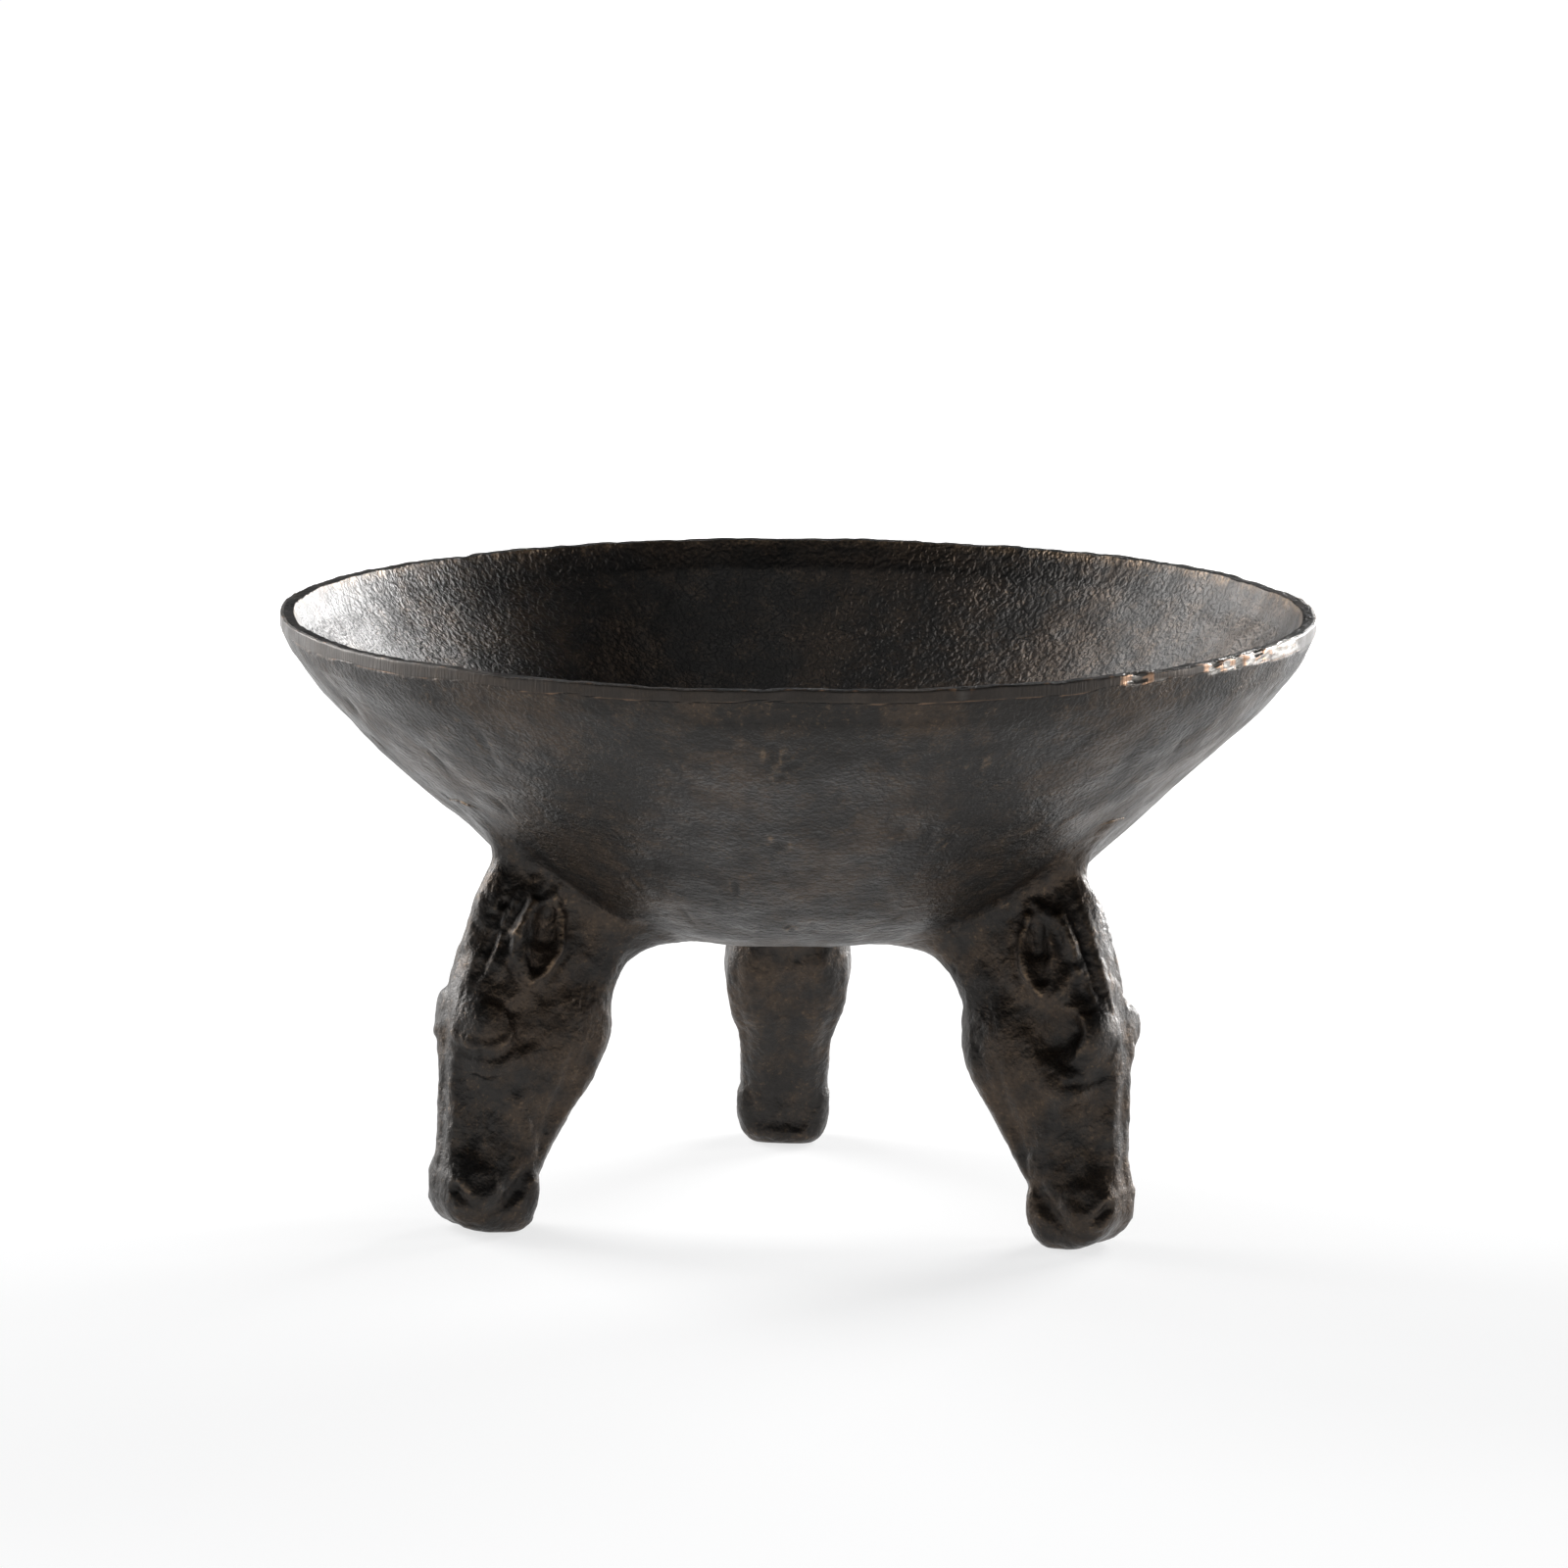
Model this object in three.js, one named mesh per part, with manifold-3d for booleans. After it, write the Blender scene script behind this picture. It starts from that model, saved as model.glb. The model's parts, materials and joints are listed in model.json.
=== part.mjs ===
// A cast bronze tripod bowl that stands on three horse heads.
// Millimetres, +Z up. The origin is on the floor, midway between the three muzzles.
// Each head looks outwards and hangs muzzle down; its crest is brazed under the bowl.
import * as THREE from "three";
import { mergeVertices } from "three/addons/utils/BufferGeometryUtils.js";
import Module from "manifold-3d";

const wasm = await Module();
wasm.setup();

// ---- driving dimensions -------------------------------------------------------------------

const RIM_DIAMETER = 305; // over the trimmed outer face of the rim
const BOWL_DEPTH = 96.7; // rim plane down to the underside of the bowl
const LEG_HEIGHT = 80.8; // floor up to the underside of the bowl
const BOWL_WALL = 5.6; // thickness of the casting
const RIM_FACE_HEIGHT = 3.6; // the trimmed band round the outside of the rim
const RIM_ROUNDING = 0.8; // the broken edges of the rim's top face
const BOWL_LEAN = 1.35; // degrees; the bowl was set down a little high on its +X side

const MUZZLE_CIRCLE = 98; // radius of the circle through the middles of the three muzzles
const MUZZLE_HALF_WIDTH = 14;
const CHEEK_HALF_WIDTH = 17.6;
const BROW_HALF_WIDTH = 19.6;
const HEAD_ANGLES = { back: 90, left: 210, right: 330 }; // degrees about +Z from +X

const BRAZE_REACH = 6.5; // how far the brazed bead runs down the head and out along the bowl
const BRAZE_EDGE = 0.9; // thickness of the bead where it stops
const BRAZE_HOLLOW = 1.1; // how far the bead's face dips below a flat one
const FIT_GAP = 0.3; // clearance between pieces that touch

// ---- colours of the metal -------------------------------------------------------------------

const BOWL_BRONZE = { color: 0x3a322c, roughness: 0.42, metalness: 0.85 };
const HEAD_BRONZE = { color: 0x40352c, roughness: 0.4, metalness: 0.85 };
const BRAZE_BRONZE = { color: 0x4b3b2c, roughness: 0.5, metalness: 0.85 };

// ---- solids ---------------------------------------------------------------------------------

/** A closed three.js geometry as a manifold solid. */
function toSolid(geometry) {
  const bare = geometry.clone();
  bare.deleteAttribute("normal");
  bare.deleteAttribute("uv");
  const merged = mergeVertices(bare, 1e-4);
  return new wasm.Manifold(
    new wasm.Mesh({
      numProp: 3,
      vertProperties: new Float32Array(merged.attributes.position.array),
      triVerts: new Uint32Array(merged.index.array),
    }),
  );
}

/** A manifold solid as a three.js geometry. */
function toGeometry(solid) {
  const { vertProperties, triVerts } = solid.getMesh();
  const geometry = new THREE.BufferGeometry();
  geometry.setAttribute("position", new THREE.BufferAttribute(new Float32Array(vertProperties), 3));
  geometry.setIndex(new THREE.BufferAttribute(new Uint32Array(triVerts), 1));
  geometry.computeVertexNormals();
  return geometry;
}

/** Moves every vertex of a geometry by a rule that takes and returns a Vector3. */
function reshape(geometry, rule) {
  const position = geometry.attributes.position;
  const vertex = new THREE.Vector3();
  for (let i = 0; i < position.count; i += 1) {
    vertex.fromBufferAttribute(position, i);
    const moved = rule(vertex, i);
    position.setXYZ(i, moved.x, moved.y, moved.z);
  }
  return geometry;
}

/** A smooth curve of one value against another, through points written as [at, value]. */
function smoothRule(points) {
  return (at) => {
    const last = points.length - 1;
    if (at <= points[0][0]) return points[0][1];
    if (at >= points[last][0]) return points[last][1];
    const i = points.findIndex(([x]) => x > at) - 1;
    const slope = (k) => {
      const from = points[Math.max(k - 1, 0)];
      const to = points[Math.min(k + 1, last)];
      return (to[1] - from[1]) / (to[0] - from[0]);
    };
    const [[x0, y0], [x1, y1]] = [points[i], points[i + 1]];
    const width = x1 - x0;
    const t = (at - x0) / width;
    const rise = y1 - y0;
    const bend = (1 - t) * (slope(i) * width - rise) + t * (rise - slope(i + 1) * width);
    return y0 + t * rise + t * (1 - t) * bend;
  };
}

// ---- the bowl -------------------------------------------------------------------------------

const RIM_RADIUS = RIM_DIAMETER / 2;
const RIM_HEIGHT = LEG_HEIGHT + BOWL_DEPTH;
const BAND_BOTTOM = RIM_HEIGHT - RIM_FACE_HEIGHT;
const BOWL_SEGMENTS = 60;
const WALL_STEPS = 13;

// The outside of the bowl as [share of the rim radius, share of the way up to the rim's band].
const BOWL_FORM = [
  [0, 0],
  [0.26, 0.036],
  [0.41, 0.104],
  [0.525, 0.211],
  [0.656, 0.396],
  [0.828, 0.653],
  [0.938, 0.84],
  [0.985, 0.947],
  [1, 1],
];

/** The outside of the bowl as a curve in the plane of (radius, height). */
const bowlCurve = new THREE.SplineCurve(
  BOWL_FORM.map(
    ([out, up]) => new THREE.Vector2(out * RIM_RADIUS, LEG_HEIGHT + up * (BAND_BOTTOM - LEG_HEIGHT)),
  ),
);

/** Points of the bowl's outside, moved by `offset` along the outward normal of the wall. */
function wallProfile(offset) {
  const points = [];
  for (let i = 0; i <= WALL_STEPS; i += 1) {
    const t = i / WALL_STEPS;
    const point = bowlCurve.getPoint(t);
    const along = bowlCurve.getTangent(t);
    const radius = i === 0 ? 0 : point.x + along.y * offset;
    points.push(new THREE.Vector2(radius, point.y - (i === 0 ? 1 : along.x) * offset));
  }
  return points;
}

/** The whole bowl: the outside, the rim with its two broken edges, then the inside back to the axis. */
function bowlShell() {
  const outside = wallProfile(0);
  const inside = wallProfile(-BOWL_WALL).filter(({ y }) => y < RIM_HEIGHT - 2 * RIM_ROUNDING);
  const lip = inside.at(-1).x;
  const rim = [
    new THREE.Vector2(RIM_RADIUS, RIM_HEIGHT - RIM_ROUNDING),
    new THREE.Vector2(RIM_RADIUS - RIM_ROUNDING, RIM_HEIGHT),
    new THREE.Vector2(lip + RIM_ROUNDING, RIM_HEIGHT),
    new THREE.Vector2(lip, RIM_HEIGHT - RIM_ROUNDING),
  ];
  return new THREE.LatheGeometry([...outside, ...rim, ...inside.reverse()], BOWL_SEGMENTS).rotateX(
    Math.PI / 2,
  );
}

/** The bowl filled up to the rim and grown by `offset`: what cuts the pieces that lie against it. */
function bowlFilled(offset) {
  const outside = wallProfile(offset);
  const top = outside.at(-1);
  const lid = [new THREE.Vector2(top.x, RIM_HEIGHT), new THREE.Vector2(0, RIM_HEIGHT)];
  return new THREE.LatheGeometry([...outside, ...lid], BOWL_SEGMENTS).rotateX(Math.PI / 2);
}

/** Where the bowl stands in the object: it leans about the middle of its rim. */
const bowlPlace = new THREE.Matrix4()
  .makeTranslation(0, 0, RIM_HEIGHT)
  .multiply(new THREE.Matrix4().makeRotationY(-THREE.MathUtils.degToRad(BOWL_LEAN)))
  .multiply(new THREE.Matrix4().makeTranslation(0, 0, -RIM_HEIGHT));

/** The height of the bowl's outside over a radius, in the bowl's own frame. */
const bowlHeightAt = smoothRule(bowlCurve.getPoints(4 * WALL_STEPS).map(({ x, y }) => [x, y]));

// ---- a horse's head ---------------------------------------------------------------------------

const HEAD_AROUND = 24;
const HEAD_RINGS = 18;
const CREST_RADIUS = MUZZLE_CIRCLE - 1;
const CREST_SHARE = 1.3; // of LEG_HEIGHT: the crest is never lower than this
const CREST_INSIDE = 4; // the loft runs on this far above the bowl's skin, for the cut to trim
const CREST_TOP = Math.max(bowlHeightAt(MUZZLE_CIRCLE) + CREST_INSIDE, CREST_SHARE * LEG_HEIGHT);

// Level sections of a head. `up` is a share of LEG_HEIGHT; `jaw` and `nose` are measured from the
// muzzle circle, inwards and outwards; `half` is the half width; `ridge` narrows the nose side.
const HEAD_SECTIONS = [
  { up: 0, jaw: 8, nose: 8.5, half: MUZZLE_HALF_WIDTH - 5, ridge: 0.1 },
  { up: 0.03, jaw: 10.4, nose: 12, half: MUZZLE_HALF_WIDTH - 2.4, ridge: 0.15 },
  { up: 0.09, jaw: 11.8, nose: 15.2, half: MUZZLE_HALF_WIDTH - 0.6, ridge: 0.25 },
  { up: 0.2, jaw: 13, nose: 17, half: MUZZLE_HALF_WIDTH, ridge: 0.35 },
  { up: 0.36, jaw: 19.6, nose: 15.8, half: MUZZLE_HALF_WIDTH - 0.3, ridge: 0.5 },
  { up: 0.54, jaw: 27.6, nose: 15.4, half: CHEEK_HALF_WIDTH, ridge: 0.6 },
  { up: 0.72, jaw: 33, nose: 15.4, half: BROW_HALF_WIDTH - 0.6, ridge: 0.5 },
  { up: 0.88, jaw: 35, nose: 12.4, half: BROW_HALF_WIDTH - 0.8, ridge: 0.45 },
  { up: 1, jaw: 42, nose: 10.4, half: BROW_HALF_WIDTH, ridge: 0.5 },
  { up: 1.08, jaw: 51, nose: 9.8, half: BROW_HALF_WIDTH, ridge: 0.55 },
  { up: 1.2, jaw: 58, nose: 7.6, half: BROW_HALF_WIDTH - 1.5, ridge: 0.6 },
];

/** One measure of the head's sections as a rule of height, closed by its value at the crest. */
function headRule(measure, atCrest) {
  const points = HEAD_SECTIONS.map((section) => [section.up * LEG_HEIGHT, measure(section)]);
  return smoothRule([...points, [CREST_TOP, atCrest]]);
}

const jawAt = headRule(({ jaw }) => MUZZLE_CIRCLE - jaw, MUZZLE_CIRCLE - 58);
const noseAt = headRule(({ nose }) => MUZZLE_CIRCLE + nose, CREST_RADIUS);
const halfAt = headRule(({ half }) => half, BROW_HALF_WIDTH - 3);
const ridgeAt = headRule(({ ridge }) => ridge, 0.6);

/** A point of the head's skin at a height and an angle, 0 on the nose side, grown by `grow`. */
function headSkin(height, angle, grow) {
  const [inner, outer] = [jawAt(height), noseAt(height)];
  const squareness = 2 / 2.5;
  const power = (value) => Math.sign(value) * Math.abs(value) ** squareness;
  const [c, s] = [Math.cos(angle), Math.sin(angle)];
  const narrowing = 1 - ridgeAt(height) * (0.5 + 0.5 * c) ** 1.5;
  return new THREE.Vector3(
    (inner + outer) / 2 + ((outer - inner) / 2 + grow) * power(c),
    (halfAt(height) * narrowing + grow) * power(s),
    height,
  );
}

/** The loft through a head's sections, from the flat under the muzzle up to the crest. */
function headLoft(grow) {
  const loft = new THREE.CylinderGeometry(1, 1, 1, HEAD_AROUND, HEAD_RINGS).rotateX(Math.PI / 2);
  return reshape(loft, ({ x, y, z }) => {
    const share = z + 0.5;
    const height = CREST_TOP * share;
    const onAxis = Math.hypot(x, y) < 0.5;
    const skin = headSkin(height, Math.atan2(y, x), grow);
    const middle = (jawAt(height) + noseAt(height)) / 2;
    const level = share < 1e-6 ? -grow : height;
    return onAxis ? new THREE.Vector3(middle, 0, level) : skin.setZ(level);
  });
}

// Rounded lumps on each side of a head: `out` from the muzzle circle, `across` to the side, and
// either `up`, a share of LEG_HEIGHT, or `hang`, millimetres below the bowl. `size` is the half
// sizes along the same three directions and `turn` tips the lump about the side axis.
const HEAD_LUMPS = {
  brow: { out: 8.4, across: 12.4, up: 0.745, size: [9, 7, 9], turn: 0 },
  nostril: { out: 11, across: 6.6, up: 0.17, size: [6, 6, 8], turn: 0 },
  jowl: { out: -20, across: 9, up: 0.7, size: [12, 9.4, 15], turn: -20 },
  chin: { out: -8, across: 3.2, up: 0.12, size: [5, 7, 7], turn: 0 },
  ear: { out: -6, across: 15.6, hang: 21.2, size: [8, 5, 15], turn: -12 },
};
const FORELOCK = { out: 8, across: 0, hang: 34, size: [5, 7.5, 19], turn: -14 };
const EYE_SOCKET = { out: 11, across: 20, up: 0.69, size: [5, 3, 3], turn: 0 };
const EAR_HOLLOW = { out: -6, across: 21.2, hang: 22.2, size: [4.6, 3.2, 11.5], turn: -12 };
const NOSTRIL_SLIT = { out: 14.4, across: 12.2, up: 0.14, size: [2.6, 2.4, 3.4], turn: 25 };
const MOUTH_SLIT = { out: 2, across: 14.8, up: 0.17, size: [9, 1.8, 1.3], turn: 22 };

/** One lump as an ellipsoid on the side given by `side`, grown by `grow`. */
function lump({ out, across, up, hang, size, turn }, side, grow) {
  const radius = MUZZLE_CIRCLE + out;
  const height = hang === undefined ? up * LEG_HEIGHT : bowlHeightAt(radius) - hang;
  return new THREE.SphereGeometry(1, 10, 7)
    .rotateX(Math.PI / 2)
    .scale(size[0] + grow, size[1] + grow, size[2] + grow)
    .rotateY(THREE.MathUtils.degToRad(turn))
    .translate(radius, across * side, height);
}

/** A whole head in its own frame, +X outwards, grown by `grow` and not yet cut by the bowl. */
function headSolid(grow) {
  let head = toSolid(headLoft(grow)).add(toSolid(lump(FORELOCK, 1, grow)));
  for (const side of [-1, 1]) {
    for (const form of Object.values(HEAD_LUMPS)) {
      head = head.add(toSolid(lump(form, side, grow)));
    }
  }
  return head;
}

/** Eye sockets, ear hollows, nostrils and the corners of the mouth, cut on both sides. */
function headCuts(head) {
  let cut = head;
  for (const side of [-1, 1]) {
    for (const form of [EYE_SOCKET, EAR_HOLLOW, NOSTRIL_SLIT, MOUTH_SLIT]) {
      cut = cut.subtract(toSolid(lump(form, side, 0)));
    }
  }
  return cut;
}

// ---- the brazed bead round a head's crest -----------------------------------------------------

const BEAD_STEPS = 32;
const BEAD_SIDES = 8;
const BEAD_FACE_SIDES = 4; // of them, those on the hollow face
const BEAD_ROOT = 2.5; // how far the hidden root reaches into head and bowl before it is cut

const TANGENT_STEP = 0.02; // radians either side, to find which way is away from the head

/** The height of the bowl's outside over a point, seen from a head's own frame. */
function bowlHeightOver(x, y, toBowl, fromBowl) {
  const point = new THREE.Vector3(x, y, LEG_HEIGHT);
  for (let pass = 0; pass < 6; pass += 1) {
    const inBowl = point.clone().applyMatrix4(toBowl);
    inBowl.z = bowlHeightAt(Math.hypot(inBowl.x, inBowl.y));
    point.z = inBowl.applyMatrix4(fromBowl).z;
  }
  return point.z;
}

/** Where the head's skin runs into the bowl at an angle round the head. */
function seamPoint(angle, heightOver) {
  let [low, high] = [0.5 * LEG_HEIGHT, CREST_TOP];
  for (let pass = 0; pass < 30; pass += 1) {
    const middle = (low + high) / 2;
    const { x, y } = headSkin(middle, angle, 0);
    if (middle < heightOver(x, y)) low = middle;
    else high = middle;
  }
  return headSkin(low, angle, 0);
}

/** The bead before its neighbours are cut away: a ring with a hollow face between head and bowl. */
function beadRing(heightOver) {
  const ring = new THREE.TorusGeometry(4, 1, BEAD_SIDES, BEAD_STEPS);
  const sides = BEAD_STEPS + 1;
  return reshape(ring, (vertex, index) => {
    const corner = Math.floor(index / sides) % BEAD_SIDES;
    const angle = ((index % sides) / BEAD_STEPS) * 2 * Math.PI;
    const seam = seamPoint(angle, heightOver);
    const ahead = seamPoint(angle + TANGENT_STEP, heightOver);
    const behind = seamPoint(angle - TANGENT_STEP, heightOver);
    const away = new THREE.Vector3(ahead.y - behind.y, behind.x - ahead.x, 0).normalize();
    const edge = BRAZE_EDGE + FIT_GAP;
    const headFoot = headSkin(seam.z - BRAZE_REACH, angle, 0).addScaledVector(away, edge);
    const bowlFoot = seam.clone().addScaledVector(away, BRAZE_REACH);
    bowlFoot.z = heightOver(bowlFoot.x, bowlFoot.y) - edge;
    if (corner <= BEAD_FACE_SIDES) {
      const share = corner / BEAD_FACE_SIDES;
      const hollow = BRAZE_HOLLOW * Math.sin(Math.PI * share);
      const inward = away.clone().negate().setZ(1).normalize();
      return headFoot.lerp(bowlFoot, share).addScaledVector(inward, hollow);
    }
    if (corner === BEAD_FACE_SIDES + 1) return bowlFoot.setZ(bowlFoot.z + edge + BEAD_ROOT);
    if (corner === BEAD_FACE_SIDES + 2) {
      return seam.addScaledVector(away, -BEAD_ROOT).setZ(seam.z + BEAD_ROOT);
    }
    return headFoot.addScaledVector(away, -edge - BEAD_ROOT);
  });
}

// ---- assembly ---------------------------------------------------------------------------------

/** A named mesh with its own metal. */
function piece(name, geometry, metal) {
  const mesh = new THREE.Mesh(geometry, new THREE.MeshStandardMaterial(metal));
  mesh.name = name;
  return mesh;
}

const tripodBowl = new THREE.Group();

const bowl = piece("bowl_shell", bowlShell(), BOWL_BRONZE);
bowl.applyMatrix4(bowlPlace);
tripodBowl.add(bowl);

for (const [place, degrees] of Object.entries(HEAD_ANGLES)) {
  const leg = new THREE.Group();
  leg.rotation.z = THREE.MathUtils.degToRad(degrees);
  leg.updateMatrix();
  const fromBowl = leg.matrix.clone().invert().multiply(bowlPlace);
  const toBowl = fromBowl.clone().invert();
  const heightOver = (x, y) => bowlHeightOver(x, y, toBowl, fromBowl);
  const bowlCut = toSolid(bowlFilled(FIT_GAP).applyMatrix4(fromBowl));

  const head = headCuts(headSolid(0)).subtract(bowlCut);
  const bead = toSolid(beadRing(heightOver)).subtract(headSolid(FIT_GAP)).subtract(bowlCut);

  leg.add(piece(`horse_head_leg_${place}`, toGeometry(head), HEAD_BRONZE));
  leg.add(piece(`braze_bead_${place}`, toGeometry(bead), BRAZE_BRONZE));
  tripodBowl.add(leg);
}

export default tripodBowl;
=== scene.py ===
"""A cast bronze bowl on three horse heads: its fine shape, its metal, and a plain studio round it.

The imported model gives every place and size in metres. Shapes are worked out in millimetres, because
that is how a founder would name them, and go back to metres when a mesh is written.
"""

import itertools
import json
import logging
import math
from dataclasses import dataclass, field, replace
from enum import IntEnum
from typing import Callable, Iterable, Sequence

import bmesh
import bpy
import numpy as np
from mathutils import Euler, Matrix, Vector


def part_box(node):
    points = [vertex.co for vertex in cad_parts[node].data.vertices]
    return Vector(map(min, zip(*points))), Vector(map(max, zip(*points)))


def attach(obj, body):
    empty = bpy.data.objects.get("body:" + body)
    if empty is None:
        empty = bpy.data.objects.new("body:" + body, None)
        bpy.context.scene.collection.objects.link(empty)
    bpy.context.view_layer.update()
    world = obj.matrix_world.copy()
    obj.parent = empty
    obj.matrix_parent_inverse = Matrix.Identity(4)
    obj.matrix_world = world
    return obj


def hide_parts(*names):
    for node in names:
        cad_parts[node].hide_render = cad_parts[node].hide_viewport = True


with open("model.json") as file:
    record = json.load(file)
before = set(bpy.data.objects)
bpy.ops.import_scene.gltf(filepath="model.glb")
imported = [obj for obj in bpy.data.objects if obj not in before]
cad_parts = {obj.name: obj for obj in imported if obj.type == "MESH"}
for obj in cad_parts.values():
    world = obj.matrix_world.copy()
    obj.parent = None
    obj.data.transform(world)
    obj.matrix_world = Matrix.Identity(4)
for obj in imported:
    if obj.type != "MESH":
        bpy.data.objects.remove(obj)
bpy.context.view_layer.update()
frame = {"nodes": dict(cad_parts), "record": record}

logging.basicConfig(level=logging.INFO, format="%(levelname)s %(message)s")
LOG = logging.getLogger("tripod_bowl")

MM = 0.001
BODY = "root"
Points = np.ndarray
Values = np.ndarray
Point = tuple[float, float, float]


# ---- small tools for shapes --------------------------------------------------------------------


def smooth_union(a: Values, b: Values, k: Values | float) -> Values:
    """Joins two fields with a fillet.

    Args:
        a: distances to the first form, below zero inside.
        b: distances to the second form.
        k: how wide the fillet is, in millimetres.

    Returns:
        The distances to both forms as one.
    """
    share = np.clip(0.5 + 0.5 * (b - a) / k, 0.0, 1.0)
    return b * (1.0 - share) + a * share - k * share * (1.0 - share)


def smooth_cut(a: Values, b: Values, k: float) -> Values:
    """Takes form b out of form a, with a softened edge k millimetres wide."""
    return -smooth_union(-a, b, k)


def ramp(value: Values, low: float, high: float) -> Values:
    """0 below `low`, 1 above `high`, and a smooth step between."""
    t = np.clip((value - low) / (high - low), 0.0, 1.0)
    return t * t * (3.0 - 2.0 * t)


def curve_through(stations: Sequence[tuple[float, float]]) -> Callable[[Values], Values]:
    """A smooth rule through (place, value) pairs.

    Args:
        stations: the pairs, in rising order of place.

    Returns:
        A function that takes places and gives values, level beyond both ends.
    """
    at = np.array([s[0] for s in stations])
    value = np.array([s[1] for s in stations])
    slope = np.gradient(value, at)

    def rule(place: Values) -> Values:
        """The value at each place, by cubic pieces."""
        x = np.clip(place, at[0], at[-1])
        i = np.clip(np.searchsorted(at, x, side="right") - 1, 0, len(at) - 2)
        width = at[i + 1] - at[i]
        t = (x - at[i]) / width
        rise = value[i + 1] - value[i]
        bend = (1 - t) * (slope[i] * width - rise) + t * (rise - slope[i + 1] * width)
        return value[i] + t * rise + t * (1 - t) * bend

    return rule


LATTICE = np.random.default_rng(5).permutation(256)
LEANS = np.random.default_rng(6).normal(size=(256, 3))
LEANS /= np.linalg.norm(LEANS, axis=1, keepdims=True)


def rough(points: Points, pitch: float | Point, seed: float) -> Values:
    """Seeded gradient noise over points, about -1 to 1, with lumps `pitch` millimetres across."""
    place = points / np.array(pitch) + np.array([seed, seed * 1.7, seed * 2.3])
    cell = np.floor(place).astype(int)
    part = place - cell
    fade = part**3 * (part * (part * 6.0 - 15.0) + 10.0)
    total = np.zeros(len(points))
    for corner in itertools.product((0, 1), repeat=3):
        x, y, z = (cell + corner).T
        pick = LATTICE[(LATTICE[(LATTICE[x & 255] + y) & 255] + z) & 255]
        lean = np.einsum("ij,ij->i", LEANS[pick], part - corner)
        total += lean * np.prod(np.where(corner, fade, 1.0 - fade), axis=1)
    return total * 1.9


def turned(points: Points, turn: Point) -> Points:
    """Points turned back by Euler angles in degrees, into a tilted form's own frame."""
    if not any(turn):
        return points
    matrix = np.array(Euler([math.radians(a) for a in turn]).to_matrix())
    return points @ matrix


# ---- forms that a head is modelled from -----------------------------------------------------------


@dataclass(frozen=True)
class Pellet:
    """An egg of wax that is laid on. Places are (out, across, up) in a head's own frame."""

    at: Point
    size: Point
    turn: Point = (0.0, 0.0, 0.0)
    blend: float = 2.5

    def mirrored(self) -> "Pellet":
        """The same pellet on the other side of the head."""
        out, across, up = self.at
        tilt, pitch, yaw = self.turn
        return replace(self, at=(out, -across, up), turn=(-tilt, pitch, -yaw))

    def near(self, points: Points) -> np.ndarray:
        """Which points the pellet can reach."""
        reach = max(self.size) + self.blend + 2.0
        return np.linalg.norm(points - np.array(self.at), axis=1) < reach

    def distance(self, points: Points) -> Values:
        """Distances from points to the egg's skin."""
        local = turned(points - np.array(self.at), self.turn)
        size = np.array(self.size)
        near = np.linalg.norm(local / size, axis=1)
        steep = np.linalg.norm(local / size**2, axis=1)
        return near * (near - 1.0) / np.maximum(steep, 1e-6)


FALL = 1.6
STROKE_REACH = 7.0


@dataclass(frozen=True)
class Stroke:
    """One pass of a modelling tool over the wax, which pushes it up or presses it in along a path."""

    path: tuple[Point, ...]
    widths: tuple[float, ...]
    heights: tuple[float, ...]
    edge: float = 2.0
    wobble: float = 0.25

    def mirrored(self) -> "Stroke":
        """The same stroke on the other side of the head."""
        return replace(self, path=tuple((out, -across, up) for out, across, up in self.path))

    def lift(self, points: Points, facing: Points, jitter: Values) -> Values:
        """How far the stroke moves the skin.

        Args:
            points: points on the skin.
            facing: the skin's normals there.
            jitter: noise at the points, which makes the stroke's edge unsteady.

        Returns:
            The move in millimetres, below zero where the tool presses in.
        """
        total = np.zeros(len(points))
        for i in range(len(self.path) - 1):
            start, end = np.array(self.path[i]), np.array(self.path[i + 1])
            along = end - start
            share = np.clip((points - start) @ along / (along @ along), 0.0, 1.0)
            gap = points - start - share[:, None] * along
            off = np.einsum("ij,ij->i", gap, facing)
            width = self.widths[i] + (self.widths[i + 1] - self.widths[i]) * share
            height = self.heights[i] + (self.heights[i + 1] - self.heights[i]) * share
            away = np.linalg.norm(gap - off[:, None] * facing, axis=1) + self.wobble * jitter
            near = np.clip(1.0 - (np.maximum(away, 0.0) / width) ** self.edge, 0.0, 1.0)
            lift = height * near**FALL * (np.abs(off) < STROKE_REACH)
            total = np.where(np.abs(lift) > np.abs(total), lift, total)
        return total


Form = Pellet | Stroke


def both(forms: Iterable[Form]) -> list[Form]:
    """Each form and its twin on the other side of the head."""
    return [twin for form in forms for twin in (form, form.mirrored())]


def worked(base: Values, points: Points, pellets: Iterable[Pellet]) -> Values:
    """A field after every pellet in turn was laid on it."""
    total = base.copy()
    for pellet in pellets:
        near = pellet.near(points)
        if near.any():
            total[near] = smooth_union(total[near], pellet.distance(points[near]), pellet.blend)
    return total


# ---- meshes ---------------------------------------------------------------------------------------


def positions(mesh: bpy.types.Mesh) -> Points:
    """A mesh's vertices in millimetres."""
    flat = np.empty(len(mesh.vertices) * 3)
    mesh.vertices.foreach_get("co", flat)
    return flat.reshape(-1, 3) / MM


def set_positions(mesh: bpy.types.Mesh, points: Points) -> None:
    """Writes a mesh's vertices back from millimetres."""
    mesh.vertices.foreach_set("co", (points * MM).ravel())
    mesh.update()


def normals(mesh: bpy.types.Mesh) -> Points:
    """A mesh's vertex normals."""
    flat = np.empty(len(mesh.vertices) * 3, dtype=np.float32)
    mesh.vertex_normals.foreach_get("vector", flat)
    return flat.reshape(-1, 3).astype(float)


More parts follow.
